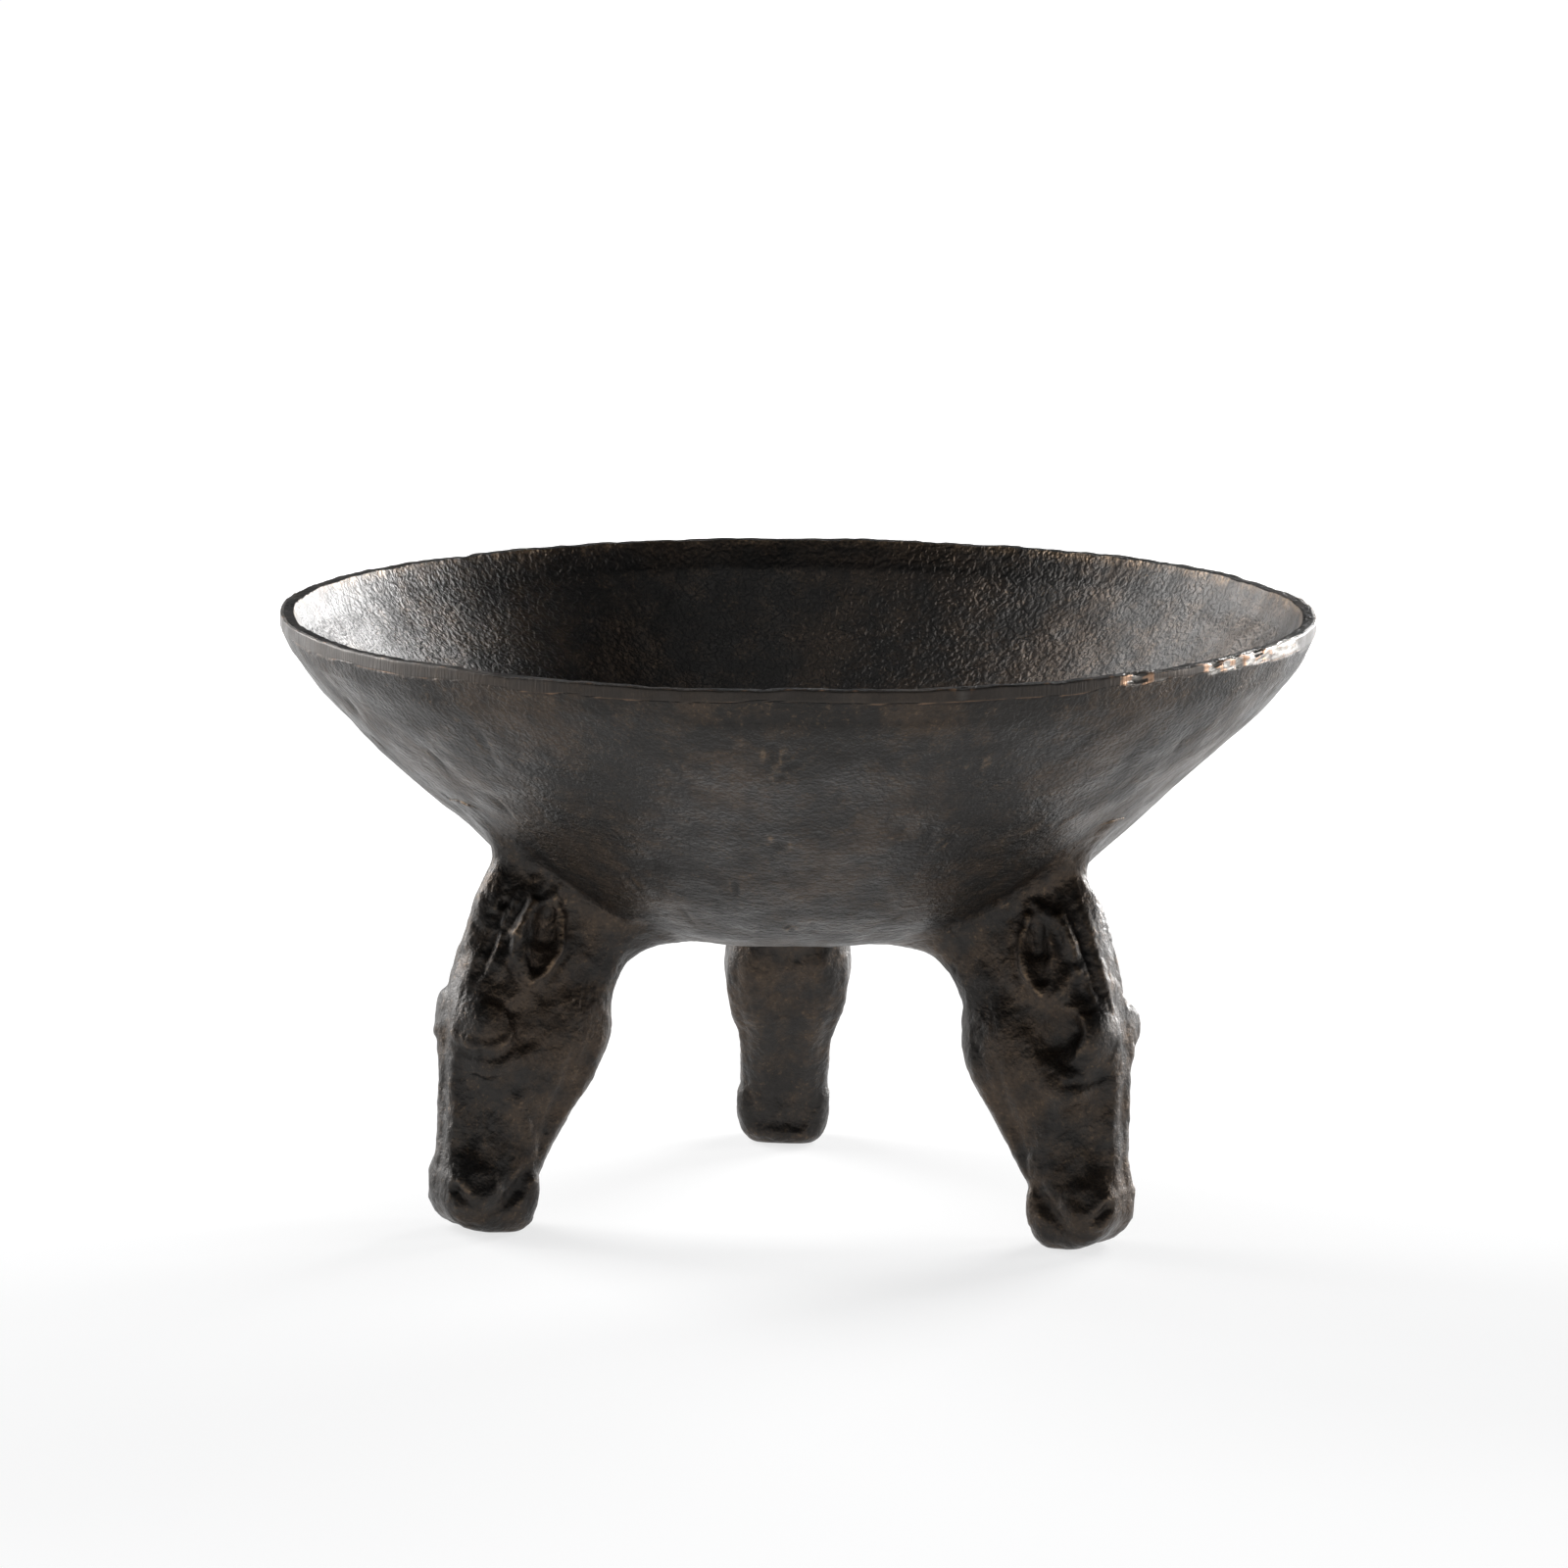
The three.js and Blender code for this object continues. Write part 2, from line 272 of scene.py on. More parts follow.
def eased(mesh: bpy.types.Mesh, points: Points, times: int) -> Points:
    """Points averaged with their neighbours along the mesh's edges, `times` times over."""
    flat = np.empty(len(mesh.edges) * 2, dtype=np.int64)
    mesh.edges.foreach_get("vertices", flat)
    one, other = flat.reshape(-1, 2).T
    count = len(points)
    degree = np.bincount(one, minlength=count) + np.bincount(other, minlength=count)
    degree = np.maximum(degree, 1)[:, None]
    result = points.copy()
    for _ in range(times):
        total = np.empty_like(result)
        for axis in range(3):
            total[:, axis] = np.bincount(one, result[other, axis], count)
            total[:, axis] += np.bincount(other, result[one, axis], count)
        result = 0.5 * result + 0.5 * total / degree
    return result


def keep_values(mesh: bpy.types.Mesh, name: str, values: Values) -> None:
    """Stores one number per vertex for the materials to read."""
    layer = mesh.attributes.get(name) or mesh.attributes.new(name, "FLOAT", "POINT")
    layer.data.foreach_set("value", values.astype(np.float32))


def keep_relief(mesh: bpy.types.Mesh, reach: int, depth: float) -> None:
    """Stores how far each vertex stands out from its surroundings, 0.5 being level.

    Args:
        mesh: the finished mesh.
        reach: how many rings of neighbours count as surroundings.
        depth: the height in millimetres that counts as fully raised.
    """
    points = positions(mesh)
    height = np.einsum("ij,ij->i", points - eased(mesh, points, reach), normals(mesh))
    keep_values(mesh, "relief", np.clip(0.5 + 0.5 * height / depth, 0.0, 1.0))


def voxel_skin(mesh: bpy.types.Mesh, pitch: float) -> bpy.types.Mesh:
    """A new mesh over the same solid, made of even quads.

    Args:
        mesh: a closed mesh, which is removed.
        pitch: the size of a quad in millimetres.

    Returns:
        The new mesh.
    """
    carrier = bpy.data.objects.new("carrier", mesh)
    bpy.context.scene.collection.objects.link(carrier)
    remesh = carrier.modifiers.new("even", "REMESH")
    remesh.mode = "VOXEL"
    remesh.voxel_size = pitch * MM
    remesh.use_smooth_shade = True
    ready = carrier.evaluated_get(bpy.context.evaluated_depsgraph_get())
    skin = bpy.data.meshes.new_from_object(ready)
    bpy.data.objects.remove(carrier)
    bpy.data.meshes.remove(mesh)
    return skin


def merged_copy(*nodes: str) -> bpy.types.Mesh:
    """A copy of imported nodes' meshes as one mesh, with their loose triangles joined."""
    mesh = bpy.data.meshes.new("copy")
    bm = bmesh.new()
    for node in nodes:
        bm.from_mesh(frame["nodes"][node].data)
    bmesh.ops.remove_doubles(bm, verts=bm.verts, dist=1e-6)
    bm.to_mesh(mesh)
    bm.free()
    return mesh


def settle(
    mesh: bpy.types.Mesh,
    shape: Callable[[Points], Values],
    passes: int,
    longest: float = 1.2,
) -> None:
    """Moves every vertex onto the surface where a field is zero.

    Args:
        mesh: the mesh to move.
        shape: the field, in the object's frame in millimetres.
        passes: how many steps to take.
        longest: the longest step in millimetres.
    """
    points = positions(mesh)
    probe = 0.12
    for step in range(passes):
        here = shape(points)
        slope = np.empty_like(points)
        for axis in range(3):
            ahead = points.copy()
            ahead[:, axis] += probe
            slope[:, axis] = (shape(ahead) - here) / probe
        steep = np.maximum(np.einsum("ij,ij->i", slope, slope), 0.05)
        move = -(here / steep)[:, None] * slope
        length = np.linalg.norm(move, axis=1, keepdims=True)
        points += move * np.minimum(1.0, longest / np.maximum(length, 1e-9))
        if step < passes - 2:
            across = eased(mesh, points, 1) - points
            facing = slope / np.sqrt(steep)[:, None]
            points += across - np.einsum("ij,ij->i", across, facing)[:, None] * facing
    set_positions(mesh, points)


def finish_piece(
    mesh: bpy.types.Mesh, name: str, node: str, material: bpy.types.Material
) -> bpy.types.Object:
    """Makes a piece of the object from a finished mesh.

    Args:
        mesh: the mesh, in metres in the object's frame.
        name: the piece's name.
        node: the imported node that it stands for.
        material: the finish.

    Returns:
        The piece, riding on the body.
    """
    mesh.name = name
    mesh.materials.clear()
    mesh.materials.append(material)
    mesh.polygons.foreach_set("use_smooth", [True] * len(mesh.polygons))
    piece = bpy.data.objects.new(name, mesh)
    bpy.context.scene.collection.objects.link(piece)
    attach(piece, BODY)
    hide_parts(node)
    triangles = sum(len(p.vertices) - 2 for p in mesh.polygons)
    LOG.info("%s: %d vertices, %d triangles", name, len(mesh.vertices), triangles)
    return piece


# ---- finishes ---------------------------------------------------------------------------------------

Socket = bpy.types.NodeSocket


@dataclass
class Sheet:
    """A node tree being drawn up, with short ways to add and link its nodes."""

    tree: bpy.types.NodeTree

    def node(self, kind: str, **settings: object) -> bpy.types.Node:
        """Adds a node and sets its own settings."""
        made = self.tree.nodes.new(kind)
        for key, value in settings.items():
            setattr(made, key, value)
        return made

    def feed(self, socket: Socket, value: object) -> None:
        """Links a socket to another, or sets it to a plain value."""
        if isinstance(value, bpy.types.NodeSocket):
            self.tree.links.new(value, socket)
        else:
            socket.default_value = value

    def math(self, operation: str, *values: object, clamp: bool = False) -> Socket:
        """A Math node on up to three values."""
        made = self.node("ShaderNodeMath", operation=operation, use_clamp=clamp)
        for socket, value in zip(made.inputs, values):
            self.feed(socket, value)
        return made.outputs[0]

    def spread(self, value: Socket, low: float, high: float, to: Point | tuple = (0.0, 1.0)) -> Socket:
        """A smooth step of a value between two limits."""
        made = self.node("ShaderNodeMapRange", interpolation_type="SMOOTHSTEP")
        for key, number in zip(("From Min", "From Max", "To Min", "To Max"), (low, high, *to)):
            made.inputs[key].default_value = number
        self.feed(made.inputs["Value"], value)
        return made.outputs["Result"]

    def blend(self, share: object, one: object, other: object, mode: str = "MIX") -> Socket:
        """Mixes two colours."""
        made = self.node("ShaderNodeMix", data_type="RGBA", blend_type=mode)
        self.feed(made.inputs["Factor"], share)
        self.feed(made.inputs["A"], one)
        self.feed(made.inputs["B"], other)
        return made.outputs["Result"]

    def noise(self, place: Socket, scale: float, detail: float = 3.0, **more: float) -> Socket:
        """A noise texture's value over a place."""
        made = self.node("ShaderNodeTexNoise")
        self.feed(made.inputs["Vector"], place)
        made.inputs["Scale"].default_value = scale
        made.inputs["Detail"].default_value = detail
        for key, value in more.items():
            made.inputs[key.replace("_", " ").title()].default_value = value
        return made.outputs["Fac"]

    def stretched(self, place: Socket, scale: Point) -> Socket:
        """A place stretched along the axes."""
        made = self.node("ShaderNodeMapping")
        self.feed(made.inputs["Vector"], place)
        made.inputs["Scale"].default_value = scale
        return made.outputs["Vector"]


def group_sheet(name: str, inputs: dict[str, str], outputs: dict[str, str]) -> tuple[Sheet, dict, dict]:
    """Starts a shader node group.

    Args:
        name: the group's name.
        inputs: socket types by input name.
        outputs: socket types by output name.

    Returns:
        The sheet, its input sockets and its output sockets, both by name.
    """
    tree = bpy.data.node_groups.new(name, "ShaderNodeTree")
    for label, kind in inputs.items():
        tree.interface.new_socket(label, in_out="INPUT", socket_type=kind)
    for label, kind in outputs.items():
        tree.interface.new_socket(label, in_out="OUTPUT", socket_type=kind)
    sheet = Sheet(tree)
    start, end = sheet.node("NodeGroupInput"), sheet.node("NodeGroupOutput")
    return sheet, {s.name: s for s in start.outputs}, {s.name: s for s in end.inputs}


FLOAT, COLOUR, VECTOR = "NodeSocketFloat", "NodeSocketColor", "NodeSocketVector"


def cast_grain_group() -> bpy.types.NodeTree:
    """The skin that a sand or slurry mould leaves: rounded pebbles, finer sand and scattered pits."""
    sheet, given, out = group_sheet(
        "cast_grain",
        {"Place": VECTOR, "Pebbles": FLOAT, "Sand": FLOAT, "Pits": FLOAT},
        {"Height": FLOAT, "Hollow": FLOAT},
    )
    place = given["Place"]
    warp = sheet.noise(place, 260.0, 2.0)
    pebbles = sheet.noise(place, 640.0, 1.5, roughness=0.45, distortion=0.35)
    pebble_height = sheet.spread(pebbles, 0.34, 0.68)
    sand = sheet.noise(place, 1150.0, 3.0, roughness=0.62)
    pit_cells = sheet.node("ShaderNodeTexVoronoi", feature="F1")
    pit_cells.inputs["Scale"].default_value = 150.0
    sheet.feed(pit_cells.inputs["Vector"], place)
    few = sheet.spread(sheet.noise(place, 45.0, 2.0), 0.56, 0.68)
    pit = sheet.math("MULTIPLY", sheet.spread(pit_cells.outputs["Distance"], 0.26, 0.1), few)
    height = sheet.math("MULTIPLY", pebble_height, given["Pebbles"])
    height = sheet.math("MULTIPLY_ADD", sand, given["Sand"], height)
    height = sheet.math("MULTIPLY_ADD", warp, 0.25, height)
    sunk = sheet.math("MULTIPLY", pit, given["Pits"])
    sheet.feed(out["Height"], sheet.math("SUBTRACT", height, sunk))
    sheet.feed(out["Hollow"], sheet.math("SUBTRACT", 1.0, pebble_height))
    return sheet.tree


def patina_group() -> bpy.types.NodeTree:
    """Brown-black patina with clouds of warmer bronze, the metal showing where hands rub it, and painted
    shade that darkens sunk places and the grain's hollows.
    """
    sheet, given, out = group_sheet(
        "bronze_patina",
        {
            "Place": VECTOR,
            "Relief": FLOAT,
            "Hollow": FLOAT,
            "Clouds": FLOAT,
            "Rub": FLOAT,
            "Specks": FLOAT,
            "Dark": COLOUR,
            "Warm": COLOUR,
            "Bronze": COLOUR,
        },
        {"Colour": COLOUR, "Rubbed": FLOAT, "Cloud": FLOAT},
    )
    place = given["Place"]
    broad = sheet.noise(place, 26.0, 4.0, roughness=0.55)
    small = sheet.noise(place, 150.0, 4.0, roughness=0.65)
    speck = sheet.noise(place, 900.0, 2.0, roughness=0.6)
    mottled = sheet.math("MULTIPLY_ADD", small, 0.45, sheet.math("MULTIPLY", broad, 0.62))
    cloud = sheet.math("MULTIPLY", sheet.spread(mottled, 0.46, 0.66), given["Clouds"])
    colour = sheet.blend(cloud, given["Dark"], given["Warm"])
    raised = sheet.spread(given["Relief"], 0.6, 0.98)
    spotted = sheet.math("MULTIPLY_ADD", speck, 0.5, sheet.math("MULTIPLY", small, 0.6))
    flecks = sheet.spread(spotted, 0.5, 0.66)
    worn = sheet.math("MULTIPLY_ADD", flecks, 0.75, 0.3)
    rubbed = sheet.math("MULTIPLY", raised, sheet.math("MULTIPLY", worn, given["Rub"]), clamp=True)
    colour = sheet.blend(rubbed, colour, given["Bronze"])
    glints = sheet.math("MULTIPLY", sheet.spread(speck, 0.56, 0.68), sheet.spread(small, 0.42, 0.6))
    colour = sheet.blend(sheet.math("MULTIPLY", glints, given["Specks"]), colour, given["Bronze"])
    # Painted shade: sunk places and the grain's hollows are darkened towards near-black, as if light did
    # not reach them.
    deep = sheet.math("MULTIPLY", sheet.spread(given["Relief"], 0.46, 0.15), 0.6)
    hollow_shade = sheet.math("MULTIPLY", given["Hollow"], 0.35)
    shade = sheet.math("MAXIMUM", deep, hollow_shade)
    sheet.feed(out["Colour"], sheet.blend(shade, colour, (0.012, 0.011, 0.010, 1.0)))
    sheet.feed(out["Rubbed"], rubbed)
    sheet.feed(out["Cloud"], cloud)
    return sheet.tree


@dataclass(frozen=True)
class BronzeFinish:
    """One casting's finish: its patina's colours, its grain and its gloss."""

    name: str
    dark: Point = (0.027, 0.0238, 0.0215)
    warm: Point = (0.066, 0.045, 0.030)
    bronze: Point = (0.185, 0.125, 0.076)
    clouds: float = 0.7
    rub: float = 0.8
    specks: float = 0.3
    pebbles: float = 0.6
    sand: float = 0.35
    pits: float = 0.8
    depth: float = 0.26
    gloss_low: float = 0.34
    gloss_high: float = 0.52
    metallic: float = 0.9

    def start(self) -> tuple[bpy.types.Material, Sheet, Socket, Socket]:
        """A new material.

        Returns:
            The material, its sheet, the place of a point, and how far it stands proud.
        """
        material = bpy.data.materials.new(self.name)
        material.use_nodes = True
        material.node_tree.nodes.clear()
        sheet = Sheet(material.node_tree)
        place = sheet.node("ShaderNodeTexCoord").outputs["Object"]
        relief = sheet.node("ShaderNodeAttribute", attribute_name="relief").outputs["Fac"]
        return material, sheet, place, relief

    def grain(self, sheet: Sheet, place: Socket, pebbles: object) -> bpy.types.Node:
        """The cast grain, with its pebbles' height given or linked."""
        grain = sheet.node("ShaderNodeGroup", node_tree=bpy.data.node_groups["cast_grain"])
        values = {"Place": place, "Pebbles": pebbles, "Sand": self.sand, "Pits": self.pits}
        for label, value in values.items():
            sheet.feed(grain.inputs[label], value)
        return grain

    def patina(self, sheet: Sheet, place: Socket, relief: Socket, hollow: Socket) -> bpy.types.Node:
        """The patina over that grain."""
        patina = sheet.node("ShaderNodeGroup", node_tree=bpy.data.node_groups["bronze_patina"])
        values = {
            "Place": place,
            "Relief": relief,
            "Hollow": hollow,
            "Clouds": self.clouds,
            "Rub": self.rub,
            "Specks": self.specks,
            "Dark": (*self.dark, 1.0),
            "Warm": (*self.warm, 1.0),
            "Bronze": (*self.bronze, 1.0),
        }
        for label, value in values.items():
            sheet.feed(patina.inputs[label], value)
        return patina

    def shade(
        self, sheet: Sheet, colour: Socket, roughness: Socket, height: Socket, depth: float
    ) -> None:
        """The metal's shader and its output.

        Args:
            sheet: the material's sheet.
            colour: the base colour.
            roughness: the roughness.
            height: the grain's height, 0 to about 1.
            depth: that height in millimetres.
        """
        bump = sheet.node("ShaderNodeBump")
        bump.inputs["Strength"].default_value = 1.0
        bump.inputs["Distance"].default_value = depth * MM
        sheet.feed(bump.inputs["Height"], height)
        metal = sheet.node("ShaderNodeBsdfPrincipled")
        metal.inputs["Metallic"].default_value = self.metallic
        metal.inputs["Coat Roughness"].default_value = 0.4
        metal.inputs["Coat Weight"].default_value = 0.25
        sheet.feed(metal.inputs["Base Color"], colour)
        sheet.feed(metal.inputs["Roughness"], roughness)
        sheet.feed(metal.inputs["Normal"], bump.outputs["Normal"])
        end = sheet.node("ShaderNodeOutputMaterial")
        sheet.feed(end.inputs["Surface"], metal.outputs["BSDF"])

    def gloss(self, sheet: Sheet, place: Socket, rubbed: Socket) -> Socket:
        """A roughness that wanders over the surface and is finer where the metal is rubbed."""
        patchy = sheet.spread(sheet.noise(place, 90.0, 3.0), 0.35, 0.65, (self.gloss_low, self.gloss_high))
        return sheet.math("MULTIPLY_ADD", rubbed, -0.08, patchy)

    def build(self) -> bpy.types.Material:
        """The finish as a material."""
        material, sheet, place, relief = self.start()
        grain = self.grain(sheet, place, self.pebbles)
        patina = self.patina(sheet, place, relief, grain.outputs["Hollow"])
        roughness = self.gloss(sheet, place, patina.outputs["Rubbed"])
        self.shade(sheet, patina.outputs["Colour"], roughness, grain.outputs["Height"], self.depth)
        return material


@dataclass(frozen=True)
class BowlFinish(BronzeFinish):
    """The bowl's finish: pebbled inside, combed outside, filed round the rim, bare where it is chipped."""

    bare: Point = (0.42, 0.40, 0.37)
    copper: Point = (0.34, 0.20, 0.12)
    comb_top: float = 0.135
    comb_foot: float = 0.098

    def mask(self, sheet: Sheet, name: str) -> Socket:
        """One of the numbers that the bowl's mesh carries."""
        return sheet.node("ShaderNodeAttribute", attribute_name=name).outputs["Fac"]

    def build(self) -> bpy.types.Material:
        """The finish as a material."""
        material, sheet, place, relief = self.start()
        inside, filed, bare = (self.mask(sheet, name) for name in ("inside", "filed", "bare"))
        grain = self.grain(sheet, place, sheet.spread(inside, 0.0, 1.0, (0.7, 1.0)))
        combed = sheet.noise(sheet.stretched(place, (0.35, 0.45, 1.0)), 620.0, 4.0, roughness=0.68)
        split = sheet.node("ShaderNodeSeparateXYZ")
        sheet.feed(split.inputs["Vector"], place)
        strength = sheet.spread(split.outputs["Z"], self.comb_top, self.comb_foot, (1.1, 6.5))
        across = sheet.math("MULTIPLY", sheet.math("SUBTRACT", 1.0, inside), strength)
        height = sheet.math("MULTIPLY_ADD", combed, across, grain.outputs["Height"])
        strokes = sheet.noise(sheet.stretched(place, (1.0, 1.0, 0.12)), 1500.0, 2.0, roughness=0.5)
        height = self.swap(sheet, filed, height, sheet.math("MULTIPLY", strokes, 0.7))
        torn = sheet.noise(place, 900.0, 3.0, roughness=0.7)
        height = self.swap(sheet, bare, height, sheet.math("MULTIPLY", torn, 1.6))
        patina = self.patina(sheet, place, relief, grain.outputs["Hollow"])
        colour = patina.outputs["Colour"]
        colour = sheet.blend(sheet.math("MULTIPLY", filed, 0.6), colour, (0.05, 0.042, 0.036, 1.0))
        whole = sheet.math("SUBTRACT", filed, bare, clamp=True)
        edge = sheet.math("MULTIPLY", sheet.spread(relief, 0.62, 0.85), whole)
        colour = sheet.blend(sheet.math("MULTIPLY", edge, 0.8), colour, (*self.copper, 1.0))
        colour = sheet.blend(bare, colour, (*self.bare, 1.0))
        roughness = self.gloss(sheet, place, patina.outputs["Rubbed"])
        self.shade(sheet, colour, roughness, height, self.depth)
        return material

    def swap(self, sheet: Sheet, share: Socket, one: Socket, other: Socket) -> Socket:
        """Mixes two heights."""
        made = sheet.node("ShaderNodeMix", data_type="FLOAT")
        sheet.feed(made.inputs["Factor"], share)
        sheet.feed(made.inputs["A"], one)
        sheet.feed(made.inputs["B"], other)
        return made.outputs["Result"]


# ---- the bowl -----------------------------------------------------------------------------------------


class Side(IntEnum):
    """The parts of the bowl's section."""

    OUTSIDE = 0
    RIM = 1
    INSIDE = 2


@dataclass(frozen=True)
class Chip:
    """A break in the rim's outer edge: where it is, how long and how deep, in degrees and mm."""

    at: float
    half: float
    depth: float
    bare: float


@dataclass
class Bowl:
    """The bowl: a spun wall with a trimmed rim, uneven as a hand-made casting is."""

    node: str = "bowl_shell"
    lean: float = 1.35
    deep: float = 96.7
    wall: float = 5.6
    lip: float = 4.3
    band: float = 3.6
    rounding: float = 0.5
    steps: int = 400
    seed: float = 4.7
    form: tuple[tuple[float, float], ...] = (
        (0.0, 0.0),
        (0.26, 0.036),
        (0.41, 0.104),
        (0.525, 0.211),
        (0.656, 0.396),
        (0.828, 0.653),
        (0.938, 0.84),
        (0.985, 0.947),
        (1.0, 1.0),
    )
    chips: tuple[Chip, ...] = (
        Chip(-50.5, 1.7, 2.2, 0.75),
        Chip(-47.0, 1.0, 0.8, 0.5),
        Chip(-38.0, 1.3, 1.8, 0.9),
        Chip(-35.5, 1.0, 1.5, 1.0),
        Chip(-33.4, 1.1, 2.0, 1.0),
        Chip(-31.0, 1.0, 1.4, 1.0),
        Chip(-28.9, 1.2, 2.4, 0.9),
        Chip(-22.0, 6.0, 0.7, 1.0),
        Chip(131.8, 1.3, 1.2, 0.3),
        Chip(-72.0, 0.9, 0.6, 0.2),
        Chip(64.0, 1.2, 0.7, 0.2),
    )
    radius: float = field(init=False)
    rim: float = field(init=False)
    foot: float = field(init=False)
    height_at: Callable[[Values], Values] = field(init=False)

    def __post_init__(self) -> None:
        """Takes the rim's radius and height, and the foot's height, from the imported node."""
        low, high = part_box(self.node)
        self.radius = (high[1] - low[1]) / 2 / MM
        sway = self.radius * math.sin(math.radians(self.lean))
        self.rim = high[2] / MM - sway
        self.foot = self.rim - self.deep
        top = self.rim - self.band
        path = [(out * self.radius, self.foot + up * (top - self.foot)) for out, up in self.form]
        self.height_at = curve_through(path)

    def placed(self) -> Matrix:
        """Where the bowl stands: it leans about the middle of its rim."""
        lift = Matrix.Translation((0, 0, self.rim))
        return lift @ Matrix.Rotation(-math.radians(self.lean), 4, "Y") @ lift.inverted()

    def swell(self, points: Points) -> Values:
        """How far the hand-made wall stands out from a true one, at points in its own frame."""
        radius = np.linalg.norm(points[:, :2], axis=1)
        broad = rough(points, 46.0, self.seed) * 0.9 + rough(points, 17.0, self.seed + 3) * 0.35
        lumps = rough(points, 6.5, self.seed + 9) * 0.16 + rough(points, 3.2, self.seed + 21) * 0.08
        near_rim = ramp(points[:, 2], self.rim - 16.0, self.rim - 4.0)
        return (broad * ramp(radius, 6.0, 25.0) + lumps) * (1.0 - 0.75 * near_rim)

    def outside(self, points: Points) -> Values:
        """Distances to the bowl's outer skin from points in the object's frame, below zero within."""
        matrix = np.array(self.placed().inverted())
        local = points @ matrix[:3, :3].T + matrix[:3, 3]
        radius = np.linalg.norm(local[:, :2], axis=1)
        skin = self.height_at(radius)
        slope = self.height_at(radius + 0.5) - self.height_at(radius - 0.5)
        return (skin - local[:, 2]) / np.sqrt(1.0 + slope**2) - self.swell(local)

    def height(self, radius: float) -> float:
        """The outer skin's height at one radius."""
        return float(self.height_at(np.array([radius]))[0])

    def profile(self) -> list[tuple[float, float, Side]]:
        """The wall's section from the foot over the rim to the inside, as (radius, height, side).

        Returns:
            Points from axis to axis.
        """
        radii = np.concatenate([np.linspace(0.0, 132.0, 74), np.linspace(133.0, 149.0, 20)])
        steep = np.linspace(149.6, self.radius - 0.1, 8)
        outer = [(float(r), self.height(r), Side.OUTSIDE) for r in radii]
        outer += [(float(r), self.height(r), Side.RIM) for r in steep]
        for z in np.linspace(outer[-1][1] + 0.4, self.rim - self.rounding, 8):
            outer.append((self.radius, float(z), Side.RIM))
        lip = self.radius - self.lip
        arc = [math.radians(a) for a in (22.5, 45.0, 67.5, 90.0)]
        r = self.rounding
        low = self.rim - r
        corner = [(self.radius - r + r * math.cos(a), low + r * math.sin(a), Side.RIM) for a in arc]
        top = [(float(x), self.rim, Side.RIM) for x in np.linspace(self.radius - 1.2, lip + 1.0, 7)]
        inner_corner = [(lip + r - r * math.sin(a), low + r * math.cos(a), Side.RIM) for a in arc[:3]]
        inner = []
        for r_out in radii[::-1]:
            here, ahead = self.height(r_out), self.height(r_out + 0.5)
            behind = self.height(max(r_out - 0.5, 0.0))
            width = 0.5 + min(r_out, 0.5)
            slope = (ahead - behind) / width if r_out > 0 else 0.0
            length = math.hypot(1.0, slope)
            x, z = r_out - self.wall * slope / length, here + self.wall / length
            x += (self.wall - self.lip) * float(ramp(np.array(z), self.rim - 22.0, self.rim))
            if x >= 0.0 and z < self.rim - 1.2 and x < lip:
                inner.append((x, z, Side.INSIDE))
        inner.append((0.0, inner[-1][1], Side.INSIDE))
        return outer + corner + top + inner_corner + inner

    def spun(self) -> tuple[bpy.types.Mesh, Values]:
        """The section spun about the axis.

        Returns:
            The mesh in the bowl's own frame, and each vertex's side.
        """
        bm = bmesh.new()
        side = bm.verts.layers.float.new("side")
        ring = []
        for r, z, which in self.profile():
            vert = bm.verts.new((r * MM, 0.0, z * MM))
            vert[side] = float(which)
            ring.append(vert)
        edges = [bm.edges.new(pair) for pair in zip(ring, ring[1:])]
        bmesh.ops.spin(
            bm,
            geom=[*ring, *edges],
            cent=(0, 0, 0),
            axis=(0, 0, 1),
            angle=2 * math.pi,
            steps=self.steps,
            use_merge=True,
        )
        bmesh.ops.remove_doubles(bm, verts=bm.verts, dist=2e-6)
        bmesh.ops.recalc_face_normals(bm, faces=bm.faces)
        sides = np.array([vert[side] for vert in bm.verts])
        mesh = bpy.data.meshes.new("bowl")
        bm.to_mesh(mesh)
        bm.free()
        return mesh, sides

    def chipped(self, angle: Values, points: Points) -> tuple[Values, Values]:
        """How deep the rim's outer edge is broken at an angle, and how bare its metal is."""
        depth = np.zeros(len(angle))
        bare = np.zeros(len(angle))
        jag = rough(points, 1.4, self.seed)
        for chip in self.chips:
            away = np.abs((angle - chip.at + 180.0) % 360.0 - 180.0) / chip.half
            hole = np.clip(1.0 - away**2, 0.0, 1.0) * np.clip(0.62 + 0.9 * jag, 0.0, 1.3)
            depth = np.maximum(depth, hole * chip.depth)
            bare = np.maximum(bare, np.clip(hole * 1.3 - 0.2, 0.0, 1.0) * chip.bare)
        return depth, bare

    def uneven(self, points: Points, sides: Values) -> tuple[Points, Values, Values]:
        """The spun wall made uneven.

        Args:
            points: the spun vertices in the bowl's own frame.
            sides: each vertex's Side.

        Returns:
            The moved points, how far each is on the filed band, and how bare its metal is.
        """
        radius = np.linalg.norm(points[:, :2], axis=1)
        safe = np.maximum(radius, 1e-6)
        round_way = points[:, :2] / safe[:, None]
        angle = np.degrees(np.arctan2(points[:, 1], points[:, 0]))
        ring = np.column_stack([round_way * 60.0, np.zeros(len(points))])
        inside = sides == Side.INSIDE
        push = np.where(sides == Side.RIM, 0.0, self.swell(points) * np.where(inside, 0.6, 1.0))
        push += np.where(inside, 0.14 * rough(points, 7.0, self.seed + 31), 0.0)
        moved = points.copy()
        slope = np.gradient(self.height_at(np.linspace(0, self.radius, 200)), self.radius / 199)
        steep = np.interp(radius, np.linspace(0, self.radius, 200), slope)
        outward = np.column_stack([round_way * steep[:, None], -np.ones(len(points))])
        outward /= np.linalg.norm(outward, axis=1, keepdims=True)
        moved += outward * push[:, None]

